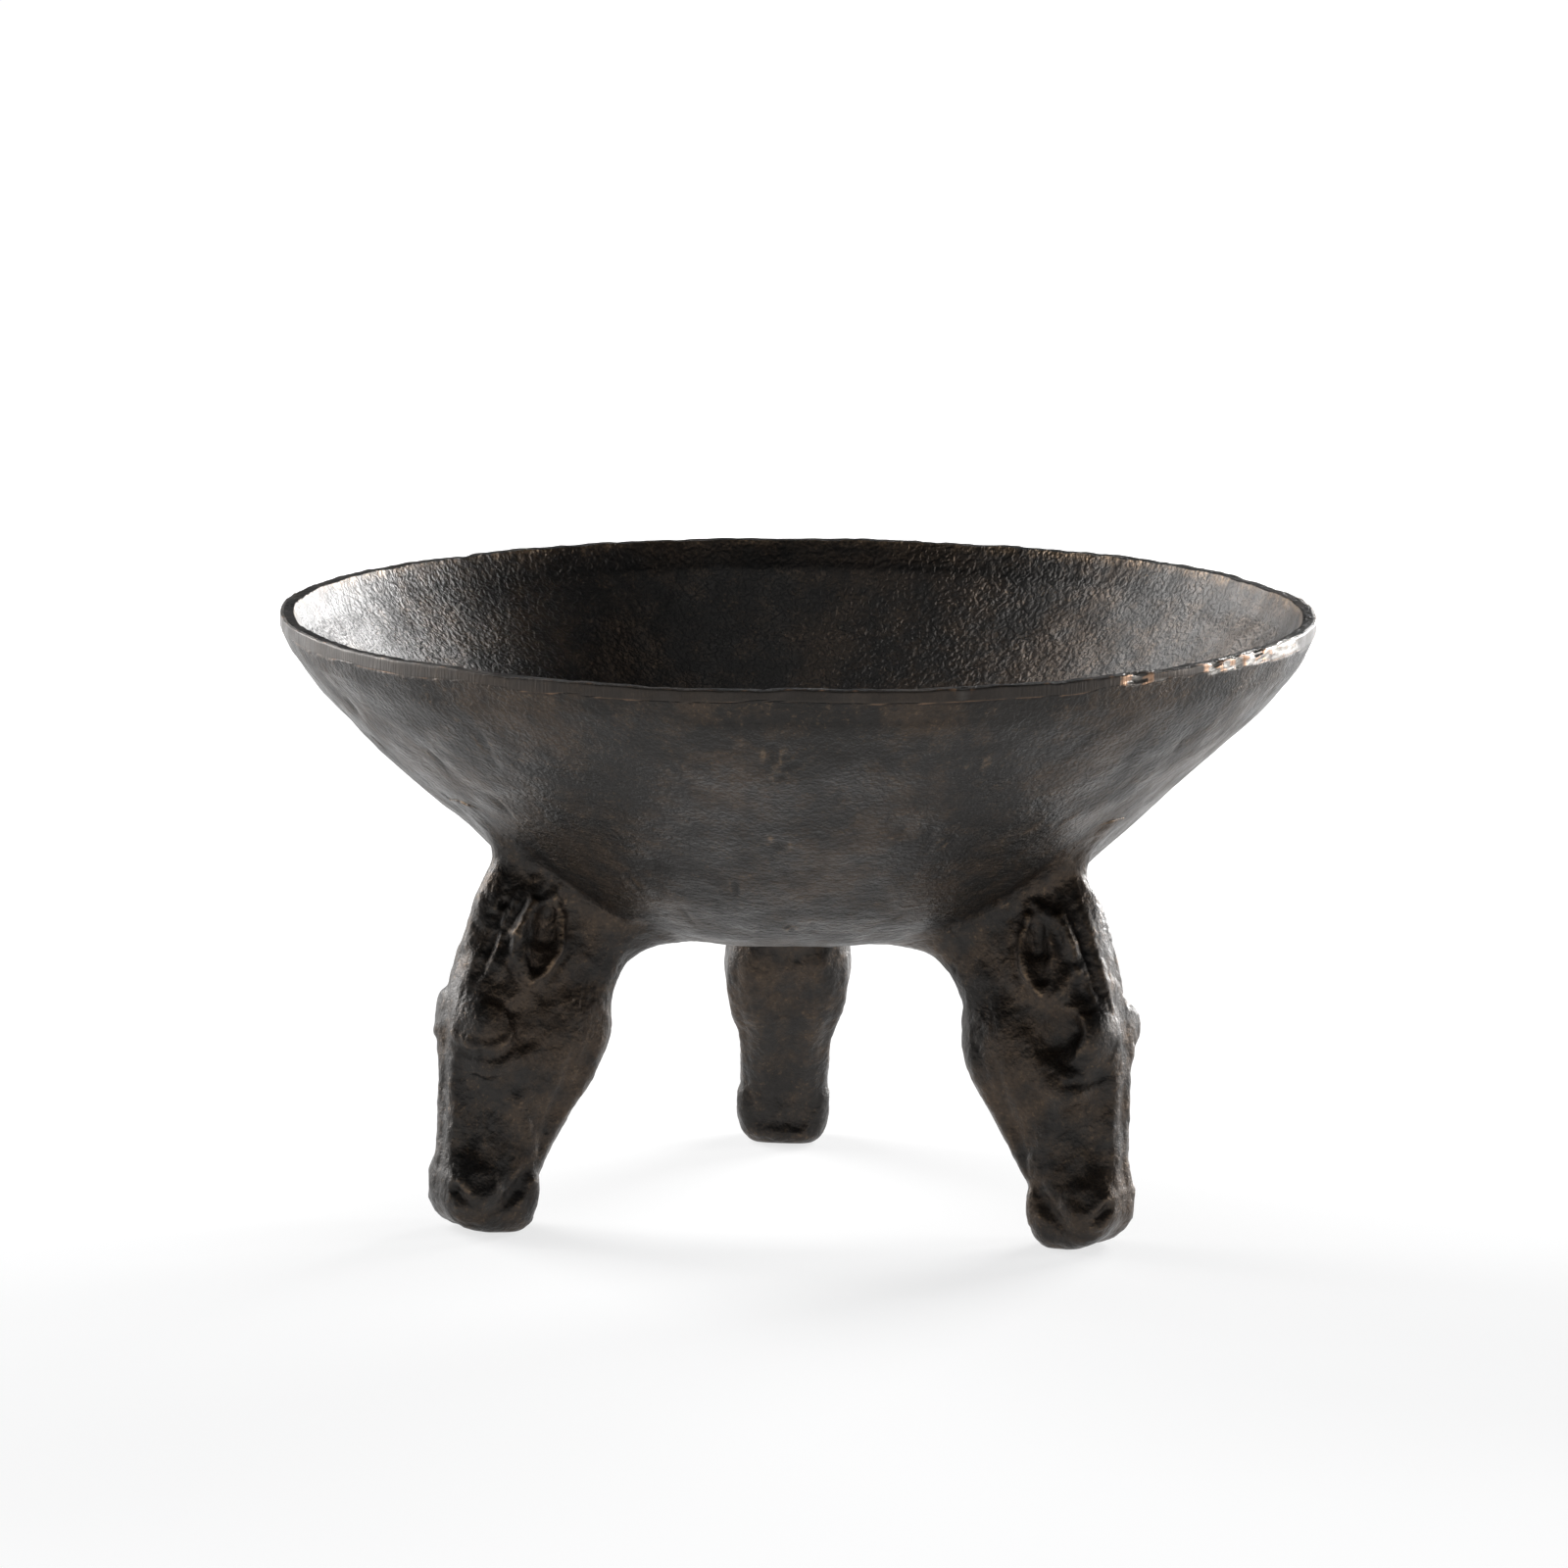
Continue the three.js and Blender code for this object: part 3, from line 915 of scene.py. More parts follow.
        reach = np.linalg.norm(moved[:, :2], axis=1)
        band_radius = self.radius + 0.28 * rough(ring, 9.0, self.seed + 5) - 0.1
        bulge = 0.55 * rough(ring, 11.0, self.seed + 7) + 0.3 * rough(ring, 4.0, self.seed + 8)
        bulge *= ramp(radius, self.radius - 2.9, self.radius - 0.2)
        above = np.maximum(points[:, 2] - (self.rim - self.band), 0.0)
        wall_radius = np.where(above > 0, self.radius, radius) + 0.4 * above + bulge - 0.1
        outer_band = (sides == Side.RIM) & ((radius > self.radius - 0.7) | (points[:, 2] < self.rim - 2.0))
        on_band = outer_band & (wall_radius > band_radius)
        target = np.where(on_band, band_radius, np.minimum(wall_radius, band_radius))
        rounding_gap = np.where(points[:, 2] > self.rim - 1.2, self.radius - radius, 0.0)
        new_radius = np.where(outer_band, target - rounding_gap, reach)
        inner_lip = ((sides >= Side.RIM) & ~outer_band) * ramp(points[:, 2], self.rim - 9.0, self.rim - 1.0)
        new_radius += inner_lip * 0.35 * rough(ring, 6.0, self.seed + 19)
        filed = np.where(outer_band & (wall_radius > band_radius - 0.1), 1.0, 0.0)

        top = (sides == Side.RIM).astype(float) * ramp(points[:, 2], self.rim - 2.5, self.rim - 0.3)
        sway = 0.45 * rough(ring, 14.0, self.seed + 11) + 0.2 * rough(ring, 4.5, self.seed + 13)
        dents = 0.2 * rough(points, 2.4, self.seed + 15) + 0.22 * rough(ring, 3.2, self.seed + 17)
        moved[:, 2] += (sway - 0.15) * ramp(points[:, 2], self.rim - 14.0, self.rim) + dents * top

        depth, bare = self.chipped(angle, points)
        edge = ramp(radius, self.radius - 3.4, self.radius - 0.6)
        edge = edge * ramp(points[:, 2], self.rim - 4.2, self.rim - 1.4)
        edge = np.where(sides == Side.RIM, edge, 0.0)
        new_radius -= depth * edge * 0.9
        moved[:, 2] -= depth * edge * 0.55
        moved[:, :2] = round_way * new_radius[:, None]
        moved[radius < 1e-3, :2] = 0.0
        return moved, filed, bare * np.clip(edge * 1.5, 0.0, 1.0)

    def gouges(self, points: Points, sides: Values) -> Values:
        """Shallow strokes and nicks that run down the outside, as depths in millimetres."""
        rng = np.random.default_rng(11)
        depth = np.zeros(len(points))
        for _ in range(150):
            angle = rng.uniform(0.0, 2 * math.pi)
            away = rng.uniform(70.0, 143.0)
            if away < 112.0 and math.cos(3.0 * (angle - math.pi / 2)) > 0.2:
                continue
            centre = np.array([away * math.cos(angle), away * math.sin(angle)])
            run = np.array([math.cos(angle), math.sin(angle)])
            lean = rng.normal(0.0, 0.35)
            run = np.array([run[0] - lean * run[1], run[1] + lean * run[0]])
            flat = points[:, :2] - centre
            along = flat @ run
            across = flat[:, 1] * run[0] - flat[:, 0] * run[1]
            long, wide = rng.uniform(2.5, 8.0), rng.uniform(0.7, 1.6)
            cut = np.clip(1.0 - (along / long) ** 2 - (across / wide) ** 2, 0.0, 1.0)
            depth = np.maximum(depth, cut * rng.uniform(0.3, 0.75))
        return np.where(sides == Side.OUTSIDE, depth, 0.0)

    def hush_relief(self, mesh: bpy.types.Mesh, points: Points) -> None:
        """Takes the relief off the strip under the rim, where the rings of the mesh draw together."""
        relief = np.empty(len(points), dtype=np.float32)
        mesh.attributes["relief"].data.foreach_get("value", relief)
        radius = np.linalg.norm(points[:, :2], axis=1)
        under = points[:, 2] < self.rim - self.band - 0.4
        strip = ramp(radius, self.radius - 8.0, self.radius - 6.0) * under
        keep_values(mesh, "relief", relief + (0.5 - relief) * strip)

    def build(self, material: bpy.types.Material) -> bpy.types.Object:
        """Makes the bowl."""
        mesh, sides = self.spun()
        points = positions(mesh)
        moved, filed, bare = self.uneven(points, sides)
        set_positions(mesh, moved)
        moved -= normals(mesh) * self.gouges(points, sides)[:, None]
        set_positions(mesh, moved)
        keep_values(mesh, "inside", (sides == Side.INSIDE).astype(float))
        keep_values(mesh, "filed", filed)
        keep_values(mesh, "bare", bare)
        keep_relief(mesh, 3, 0.22)
        self.hush_relief(mesh, points)
        placed = self.placed()
        placed.translation *= MM
        mesh.transform(placed)
        return finish_piece(mesh, "bowl", self.node, material)


# ---- a horse's head -----------------------------------------------------------------------------------


@dataclass(frozen=True)
class Section:
    """A level section of a head: its height, how far jaw and nose reach, half width, nose taper."""

    up: float
    jaw: float
    nose: float
    half: float
    taper: float


HEAD_SECTIONS = (
    Section(0.0, 8.4, 9.4, 9.8, 0.1),
    Section(2.4, 10.8, 13.4, 12.1, 0.15),
    Section(7.3, 10.6, 16.0, 13.5, 0.2),
    Section(16.0, 12.2, 17.4, 14.3, 0.28),
    Section(29.0, 19.2, 16.8, 14.5, 0.38),
    Section(44.0, 27.6, 16.6, 17.3, 0.44),
    Section(58.0, 33.2, 16.4, 18.6, 0.4),
    Section(71.0, 35.0, 14.0, 18.8, 0.34),
    Section(81.0, 42.0, 11.6, 18.8, 0.32),
    Section(87.0, 50.0, 9.4, 18.6, 0.32),
    Section(97.0, 58.0, 6.6, 17.8, 0.34),
    Section(106.0, 60.0, 2.6, 16.6, 0.38),
    Section(122.0, 60.0, -7.0, 15.4, 0.4),
)

BODY_FORMS = (
    Pellet((-15.0, 10.0, 57.0), (14.0, 8.2, 17.0), (0.0, -18.0, 0.0), 6.0),
    Pellet((9.6, 5.8, 12.5), (6.4, 5.6, 8.6), blend=6.0),
    Pellet((-3.8, 7.0, 10.0), (4.8, 6.0, 8.0), (0.0, -14.0, 0.0), 4.0),
)

JAW = (
    Stroke(
        ((-33.0, 0.0, 60.0), (-27.0, 0.0, 44.0), (-19.0, 0.0, 29.0), (-13.0, 0.0, 16.0)),
        (9, 8.5, 7, 5), (-1.3, -1.6, -1.2, -0.4),
    ),
    Stroke(
        ((-16.0, 17.5, 54.0), (-14.0, 16.8, 44.0), (-11.0, 15.2, 33.0), (-8.6, 14.0, 24.0)),
        (2.4, 2.8, 2.6, 1.8), (-0.4, -0.9, -0.8, -0.3), 1.4,
    ),
    Stroke(
        ((-27.0, 15.4, 63.0), (-24.0, 15.8, 54.0), (-20.0, 15.0, 43.0), (-13.6, 13.0, 30.0),
         (-9.6, 12.0, 21.0)),
        (3.0, 3.6, 3.4, 3.0, 2.4), (0.4, 1.0, 1.1, 0.9, 0.4),
    ),
    Stroke(((-19.0, 17.0, 74.0), (-22.0, 16.4, 82.0)), (9, 9), (-1.2, -1.0)),
    Stroke(((-9.0, 17.0, 70.0), (-12.0, 17.5, 60.0)), (6, 6), (-0.7, -0.5)),
)

NOSE = (
    Stroke(
        ((15.0, 3.6, 67.0), (15.2, 5.2, 54.0), (15.6, 4.4, 44.0), (15.6, 6.0, 34.0), (16.0, 4.0, 22.0)),
        (2.4, 3.0, 3.2, 3.0, 2.4), (0.2, 0.7, 0.9, 0.9, 0.4),
    ),
    Stroke(
        ((13.0, 10.4, 46.0), (12.4, 11.0, 38.0), (12.6, 10.8, 30.0), (13.6, 10.0, 22.0)),
        (2.6, 3.8, 3.8, 2.6), (-0.5, -1.4, -1.4, -0.6),
    ),
    Stroke(
        ((8.0, 14.4, 47.0), (2.0, 16.0, 40.0), (-3.0, 15.4, 32.0), (-7.0, 14.6, 24.0)),
        (3.2, 3.8, 3.4, 2.6), (0.5, 1.0, 0.9, 0.3),
    ),
    Stroke(((6.4, 14.2, 36.0), (4.4, 14.0, 27.0)), (4.6, 4.2), (-0.7, -0.6)),
    Stroke(
        ((15.6, 0.0, 60.0), (16.2, 0.0, 38.0), (16.4, 0.0, 20.0)),
        (2.0, 2.6, 2.0), (-0.2, -0.5, -0.3),
    ),
)

MUZZLE = (
    Stroke(((16.6, 8.4, 13.8), (14.6, 10.8, 11.4)), (2.4, 1.8), (-1.7, -1.2), 1.8),
    Stroke(
        ((17.0, 6.0, 17.4), (15.4, 10.0, 16.4), (12.4, 12.4, 12.4)),
        (2.2, 2.6, 2.2), (0.3, 0.7, 0.4),
    ),
    Stroke(((16.0, 8.4, 8.6), (13.0, 11.6, 7.8)), (1.6, 1.6), (0.5, 0.5)),
    Stroke(
        ((13.6, 11.6, 4.4), (8.0, 13.6, 5.8), (3.0, 14.4, 9.0), (-1.4, 14.4, 13.5), (-4.0, 13.8, 19.0)),
        (1.4, 1.6, 2.6, 3.4, 2.2), (-0.2, -0.4, -1.0, -1.9, -0.8), 1.7,
    ),
    Stroke(((-7.2, 12.4, 15.0), (-8.0, 11.2, 7.0)), (3.8, 3.2), (1.2, 0.6)),
    Stroke(((9.0, 13.0, 11.6), (6.0, 13.8, 13.6)), (4.4, 3.6), (0.7, 0.8)),
    Stroke(((9.6, 13.0, 23.6), (4.0, 14.4, 21.0)), (4.4, 3.6), (-0.9, -0.5)),
    Stroke(((15.8, 6.0, 3.4), (11.0, 9.6, 2.6)), (1.2, 1.2), (-0.5, -0.4), 1.2),
)

ROUND_EYE = (
    Pellet((6.6, 7.6, 62.4), (6.8, 7.2, 9.4), blend=7.5),
    Pellet((4.8, 9.6, 51.2), (6.2, 6.0, 5.6), blend=5.5),
    Stroke(
        ((14.5, 4.0, 71.5), (11.4, 10.0, 72.0), (6.6, 14.8, 70.6), (2.0, 16.5, 66.6)),
        (2.2, 3.0, 3.0, 2.2), (-0.5, -1.1, -1.1, -0.5), 1.4,
    ),
    Stroke(
        ((15.4, 3.0, 60.6), (13.8, 8.2, 57.4), (9.8, 13.2, 56.4), (4.6, 16.0, 58.2), (1.6, 17.0, 62.0)),
        (2.0, 2.6, 2.7, 2.4, 1.8), (0.3, 0.8, 0.9, 0.8, 0.3),
    ),
    Stroke(
        ((14.8, 5.0, 56.2), (12.0, 10.6, 53.8), (7.0, 15.0, 53.4), (2.5, 16.8, 56.4)),
        (2.0, 2.4, 2.4, 1.8), (-0.4, -0.8, -0.8, -0.4), 1.5,
    ),
    Stroke(((0.0, 17.4, 67.0), (-1.4, 17.4, 59.0)), (5.6, 5.0), (-1.7, -1.4)),
    Stroke(
        ((13.8, 8.0, 46.8), (10.2, 12.8, 44.8), (5.0, 15.6, 46.4), (1.6, 16.4, 50.2)),
        (2.2, 2.8, 2.8, 2.0), (-0.4, -1.0, -1.0, -0.5), 1.5,
    ),
)

DEEP_EYE = (
    Pellet((8.8, 9.2, 64.4), (6.2, 6.4, 8.2), (0.0, 0.0, 20.0), 5.5),
    Pellet((4.0, 10.6, 48.0), (6.4, 5.4, 5.6), blend=5.0),
    Stroke(((4.6, 16.2, 66.0), (1.6, 17.0, 61.6)), (7.4, 7.4), (-5.0, -4.0), 2.0),
    Stroke(((-4.0, 17.0, 66.0), (-1.0, 17.0, 72.0)), (5.0, 4.0), (-1.0, -0.8)),
    Stroke(
        ((15.2, 4.4, 57.6), (11.6, 11.0, 54.4), (5.8, 15.6, 53.8), (-0.4, 17.0, 57.4)),
        (2.4, 3.0, 3.0, 2.4), (0.4, 0.9, 1.1, 0.6),
    ),
    Stroke(
        ((14.8, 6.4, 53.0), (10.8, 12.6, 50.6), (4.6, 16.0, 50.0)),
        (1.6, 2.0, 1.6), (-0.3, -0.7, -0.5), 1.3,
    ),
    Stroke(
        ((14.6, 6.0, 72.0), (10.0, 12.4, 73.4), (4.0, 15.8, 71.6)),
        (2.0, 2.4, 1.8), (-0.5, -0.9, -0.5), 1.4,
    ),
    Stroke(((15.8, 5.4, 61.6), (15.4, 6.6, 60.4)), (1.0, 0.9), (-0.9, -0.7), 1.5),
)

LEAF_EAR = (
    Stroke(
        ((-8.0, 16.5, 98.0), (-5.6, 17.0, 88.0), (-3.0, 16.8, 79.0)),
        (7.6, 9.4, 6.4), (1.4, 2.0, 1.0), 3.0,
    ),
    Stroke(
        ((-9.8, 16.0, 100.6), (-3.4, 16.2, 98.0), (1.4, 15.5, 90.4), (0.8, 15.5, 82.0),
         (-2.6, 16.0, 74.8)),
        (2.2, 3.0, 3.3, 2.8, 1.8), (0.8, 1.9, 2.3, 1.8, 0.6), 3.0,
    ),
    Stroke(
        ((-9.8, 16.0, 100.6), (-12.8, 16.5, 93.0), (-12.0, 16.8, 84.0), (-7.6, 16.8, 78.0),
         (-2.6, 16.0, 74.8)),
        (1.8, 2.2, 2.2, 2.0, 1.6), (0.8, 1.5, 1.6, 1.3, 0.6),
    ),
    Stroke(
        ((-8.0, 16.0, 94.8), (-6.6, 16.2, 87.4), (-4.8, 16.2, 80.0)),
        (3.6, 5.2, 3.2), (-2.4, -4.0, -1.8), 2.0, 0.1,
    ),
    Stroke(
        ((-1.4, 13.4, 99.0), (3.6, 12.2, 91.0), (4.0, 12.2, 82.0), (0.4, 14.4, 75.0)),
        (1.5, 1.8, 1.8, 1.4), (-0.7, -1.0, -1.0, -0.6), 1.2,
    ),
    Stroke(
        ((-14.6, 17.0, 92.0), (-13.6, 17.2, 83.0), (-8.6, 17.4, 76.0)),
        (2.2, 2.2, 1.8), (-0.7, -0.7, -0.5), 1.4,
    ),
)

LOBED_EAR = (
    Stroke(
        ((-5.4, 16.4, 96.0), (-4.8, 16.8, 88.0), (-3.0, 16.6, 80.0)),
        (8.0, 9.2, 6.2), (1.2, 1.8, 1.0), 3.0,
    ),
    Stroke(
        ((-9.4, 16.0, 98.0), (-4.6, 16.4, 101.0), (1.8, 15.4, 98.4), (4.6, 14.0, 91.4),
         (4.8, 13.6, 84.4), (2.0, 14.8, 77.4), (-1.0, 16.0, 72.6)),
        (2.0, 2.8, 3.6, 3.9, 3.6, 3.0, 2.4), (0.8, 1.6, 2.3, 2.5, 2.1, 1.7, 1.0), 2.6, 0.5,
    ),
    Stroke(
        ((-9.4, 16.0, 98.0), (-11.2, 16.6, 91.0), (-9.0, 17.0, 82.0), (-3.6, 16.6, 75.4)),
        (1.8, 2.1, 2.1, 1.8), (0.8, 1.4, 1.3, 0.9),
    ),
    Stroke(
        ((-6.2, 16.0, 94.4), (-5.4, 16.2, 88.0), (-4.0, 16.2, 81.0)),
        (3.8, 5.0, 3.4), (-2.6, -4.2, -2.2), 2.0, 0.1,
    ),
    Stroke(((-13.2, 17.0, 91.0), (-11.2, 17.4, 81.0)), (2.2, 2.0), (-0.6, -0.6), 1.4),
)

ROUGH_MANE = (
    Stroke(
        ((-7.5, 12.0, 104.0), (-2.2, 11.2, 97.0), (1.2, 10.8, 89.0), (4.2, 10.2, 81.0), (7.4, 9.2, 74.6)),
        (3.4, 3.9, 3.9, 3.6, 2.6), (1.0, 1.6, 1.6, 1.5, 0.5), 4.0, 0.9,
    ),
    Stroke(
        ((0.6, 6.4, 101.5), (2.0, 6.8, 96.0), (3.8, 6.0, 90.0), (5.8, 6.8, 84.0), (9.0, 5.8, 76.0)),
        (1.2, 1.7, 1.3, 1.8, 1.2), (-0.7, -1.2, -0.8, -1.2, -0.5), 1.4, 0.8,
    ),
    Stroke(((1.4, 5.8, 97.4), (1.8, 5.6, 96.0)), (1.5, 1.3), (-1.6, -1.2), 2.0),
    Stroke(((3.2, 3.4, 93.6), (3.4, 3.0, 92.8)), (1.2, 1.0), (-1.0, -0.8), 2.0),
    Stroke(
        ((-3.6, 9.6, 100.0), (-0.6, 9.4, 92.0), (3.0, 8.8, 84.0)),
        (1.1, 1.5, 1.1), (-0.6, -0.9, -0.6), 1.3, 0.8,
    ),
    Stroke(((-5.0, 12.6, 96.0), (-0.6, 12.6, 86.0)), (1.2, 1.2), (-0.6, -0.6), 1.3, 0.8),
    Stroke(((7.4, 4.0, 81.0), (9.6, 3.6, 75.0)), (3.6, 3.0), (0.8, 0.5)),
    Stroke(((5.4, 0.6, 97.0), (8.4, 0.8, 84.0)), (3.4, 3.4), (0.5, 0.5), 2.0, 0.6),
)

COMBED_MANE = (
    Stroke(
        ((0.4, 3.6, 102.0), (4.8, 3.8, 92.0), (8.4, 4.0, 82.0), (11.8, 3.8, 71.0)),
        (1.8, 2.2, 2.2, 1.5), (0.8, 1.2, 1.2, 0.4), 2.0, 0.4,
    ),
    Stroke(
        ((-2.4, 8.4, 100.0), (2.4, 8.4, 90.0), (5.8, 8.4, 82.0), (9.0, 8.0, 73.0)),
        (1.9, 2.3, 2.3, 1.4), (0.8, 1.1, 1.2, 0.4), 2.0, 0.4,
    ),
    Stroke(
        ((-1.4, 6.0, 102.0), (5.4, 6.2, 87.0), (10.0, 6.0, 74.0)),
        (1.1, 1.4, 1.1), (-0.4, -0.6, -0.4), 1.4, 0.6,
    ),
    Stroke(
        ((-4.8, 11.2, 99.0), (2.0, 11.4, 86.0), (6.6, 10.6, 75.0)),
        (1.8, 2.2, 1.6), (-0.5, -0.7, -0.4), 1.5, 0.6,
    ),
)


@dataclass
class HorseHead:
    """A horse's head that hangs muzzle down, with the braze that joins it to the bowl."""

    side: str
    bowl: Bowl
    seed: float
    eye: tuple[Form, ...]
    ear: tuple[Form, ...]
    mane: tuple[Form, ...]
    heel: float = 0.036
    chin: float = 0.0
    pitch: float = 0.62
    throat_fillet: float = 12.0
    crest_fillet: float = 8.0
    bead_reach: float = 6.5
    pressure: float = 0.9
    block_pitch: float = 1.3
    bead_pitch: float = 0.7
    pad_at: Point = (-28.0, 0.0, 100.0)
    pad_size: Point = (54.0, 33.0, 13.0)
    pad_tilt: float = -28.0
    circle: float = field(init=False)
    turn: Matrix = field(init=False)
    rules: dict[str, Callable[[Values], Values]] = field(init=False)
    pellets: list[Pellet] = field(init=False)
    strokes: list[Stroke] = field(init=False)

    def __post_init__(self) -> None:
        """Finds the head's place from its resting face in the record, and lists its forms."""
        mounts = {mount["name"]: mount for mount in frame["record"]["mounts"]}
        x, y, _ = mounts[f"muzzle_rest_{self.side}"]["pos_m"]
        self.circle = math.hypot(x, y) / MM
        self.turn = Matrix.Rotation(math.atan2(y, x), 3, "Z")
        self.rules = {
            key: curve_through([(s.up, getattr(s, key)) for s in HEAD_SECTIONS])
            for key in ("jaw", "nose", "half", "taper")
        }
        forms = both([*BODY_FORMS, *JAW, *NOSE, *MUZZLE, *self.mane, *self.ear, *self.eye])
        self.pellets = [form for form in forms if isinstance(form, Pellet)]
        self.strokes = [form for form in forms if isinstance(form, Stroke)]

    def local(self, points: Points) -> Points:
        """Points of the object's frame as (out from the muzzle circle, across, up)."""
        turned_back = points @ np.array(self.turn)
        turned_back[:, 0] -= self.circle
        return turned_back

    def core(self, local: Points) -> Values:
        """The plain loft through the head's sections."""
        out, across, up = local.T
        jaw, nose, half, taper = (self.rules[key](up) for key in ("jaw", "nose", "half", "taper"))
        jaw = jaw - self.chin * ramp(-up, -34.0, -12.0)
        middle, deep = (nose - jaw) / 2, (nose + jaw) / 2
        x = (out - middle) / deep
        wide = half * (1.0 - taper * np.clip(0.5 + 0.5 * x, 0.0, 1.3) ** 1.5)
        y = across / wide
        power = np.where(x < 0, 3.0, 2.3)
        ring = (np.abs(x) ** power + np.abs(y) ** power) ** (1.0 / power)
        body = (ring - 1.0) * np.minimum(deep, wide)
        sole = self.heel * np.maximum(out - 3.0, 0.0) ** 2 - up
        return smooth_cut(body, -sole, 1.2)

    def head(self, points: Points) -> Values:
        """The modelled head, as if there were no bowl."""
        local = self.local(points)
        return worked(self.core(local), local, self.pellets)

    def flared(self, points: Points) -> tuple[Values, Values, Values]:
        """The head with its fillet into the bowl.

        Returns:
            Distances to that form, distances to the bowl, and how far a point is past the fillet's end.
        """
        bowl = self.bowl.outside(points)
        out = self.local(points)[:, 0]
        inward = ramp(-out, 12.0, 45.0)
        fillet = self.crest_fillet + (self.throat_fillet - self.crest_fillet) * inward
        head = self.head(points)
        return smooth_union(head, bowl, fillet), bowl, head - bowl - fillet

    def head_shape(self, points: Points) -> Values:
        """The head's own casting, which runs on under the braze into the bowl's wall."""
        flared, bowl, spare = self.flared(points)
        return np.maximum(flared + 0.35 * np.maximum(spare + 0.4, 0.0), -bowl - 1.6)

    def bead_shape(self, points: Points) -> Values:
        """The braze: a skin over the head's crest that dips under the head's and the bowl's own."""
        flared, bowl, spare = self.flared(points)
        low_end = ramp(bowl, self.bead_reach - 2.4, self.bead_reach - 0.2)
        bowl_end = ramp(spare, -2.6, -0.4)
        skin = flared - 0.05 + 0.6 * np.maximum(low_end, bowl_end) + 0.35 * np.maximum(spare + 0.4, 0.0)
        core = self.head(points)
        return np.maximum.reduce([skin, bowl - self.bead_reach - 1.0, -bowl - 1.6, -core - 3.0])

    def wear(self, points: Points, spare: Values) -> tuple[Values, Values]:
        """The marks of worked wax at points.

        Args:
            points: points on the skin.
            spare: how far each is past the end of the fillet into the bowl.

        Returns:
            Broad lumps and fine tool marks, in millimetres.
        """
        local = self.local(points)
        fade = ramp(local[:, 2], 0.0, 1.5) * ramp(-spare, 0.0, 4.0)
        broad = 0.34 * rough(points, 9.5, self.seed) + 0.16 * rough(points, 4.6, self.seed + 5)
        folds = np.clip(1.0 - np.abs(rough(local, (7.5, 7.5, 12.0), self.seed + 3)) / 0.3, 0.0, 1.0)
        tools = 0.1 * rough(local, (1.8, 1.8, 4.4), self.seed + 9)
        tools = tools + 0.07 * rough(points, 2.1, self.seed + 11)
        nick = np.clip(rough(points, 3.2, self.seed + 23) - 0.62, 0.0, 1.0) * 1.4
        fine = tools + 0.045 * rough(points, 1.2, self.seed + 13) - 0.07 * folds - 0.6 * nick
        return broad * fade, fine * fade

    def modelled(self, points: Points, facing: Points, spare: Values) -> Values:
        """The lift of all tool strokes at points of the skin, in millimetres."""
        local = self.local(points)
        outward = facing @ np.array(self.turn)
        jitter = rough(points, 2.4, self.seed + 41)
        total = sum(stroke.lift(local, outward, jitter) for stroke in self.strokes)
        return self.pressure * total * ramp(-spare, 0.0, 4.0) * ramp(local[:, 2], 0.0, 2.0)

    def worked_over(self, mesh: bpy.types.Mesh, pitch: float) -> bpy.types.Mesh:
        """Models a settled skin with tools, and meshes it evenly again.

        Args:
            mesh: the settled skin, which is removed.
            pitch: the size of a quad in millimetres.

        Returns:
            The modelled skin.
        """
        points = positions(mesh)
        facing = eased(mesh, normals(mesh), 6)
        facing /= np.linalg.norm(facing, axis=1, keepdims=True)
        spare = self.flared(points)[2]
        lift = self.modelled(points, facing, spare) + self.wear(points, spare)[0]
        set_positions(mesh, points + facing * lift[:, None])
        skin = voxel_skin(mesh, pitch)
        set_positions(skin, eased(skin, positions(skin), 1))
        return skin

    def weathered(self, mesh: bpy.types.Mesh, bend_share: float) -> None:
        """Adds the finest marks, and stores how far each vertex stands out from its surroundings."""
        points = positions(mesh)
        fine = self.wear(points, self.flared(points)[2])[1]
        bend = np.einsum("ij,ij->i", points - eased(mesh, points, 9), normals(mesh))
        keep_values(mesh, "relief", np.clip(0.5 + bend_share * bend + 0.8 * fine, 0.0, 1.0))
        set_positions(mesh, points + normals(mesh) * fine[:, None])

    def block(self) -> bpy.types.Mesh:
        """A rough block to carve the head from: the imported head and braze, with a pad under the bowl."""
        mesh = merged_copy(f"horse_head_leg_{self.side}", f"braze_bead_{self.side}")
        out, across, up = self.pad_at
        pad = Matrix.Translation(Vector((self.circle + out, across, up)))
        pad @= Matrix.Rotation(math.radians(self.pad_tilt), 4, "Y")
        pad @= Matrix.Diagonal((*self.pad_size, 1.0))
        bm = bmesh.new()
        bm.from_mesh(mesh)
        place = Matrix.Scale(MM, 4) @ self.turn.to_4x4() @ pad
        bmesh.ops.create_icosphere(bm, subdivisions=4, radius=1.0, matrix=place)
        bm.to_mesh(mesh)
        bm.free()
        return voxel_skin(mesh, self.block_pitch)

    def build_head(self, material: bpy.types.Material) -> bpy.types.Object:
        """Makes the head's casting."""
        node = f"horse_head_leg_{self.side}"
        mesh = self.block()
        settle(mesh, self.head_shape, 12, 1.6)
        mesh = voxel_skin(mesh, self.pitch)
        settle(mesh, self.head_shape, 6, 0.8)
        mesh = self.worked_over(mesh, self.pitch)
        self.weathered(mesh, 1.5)
        return finish_piece(mesh, f"horse_head_{self.side}", node, material)

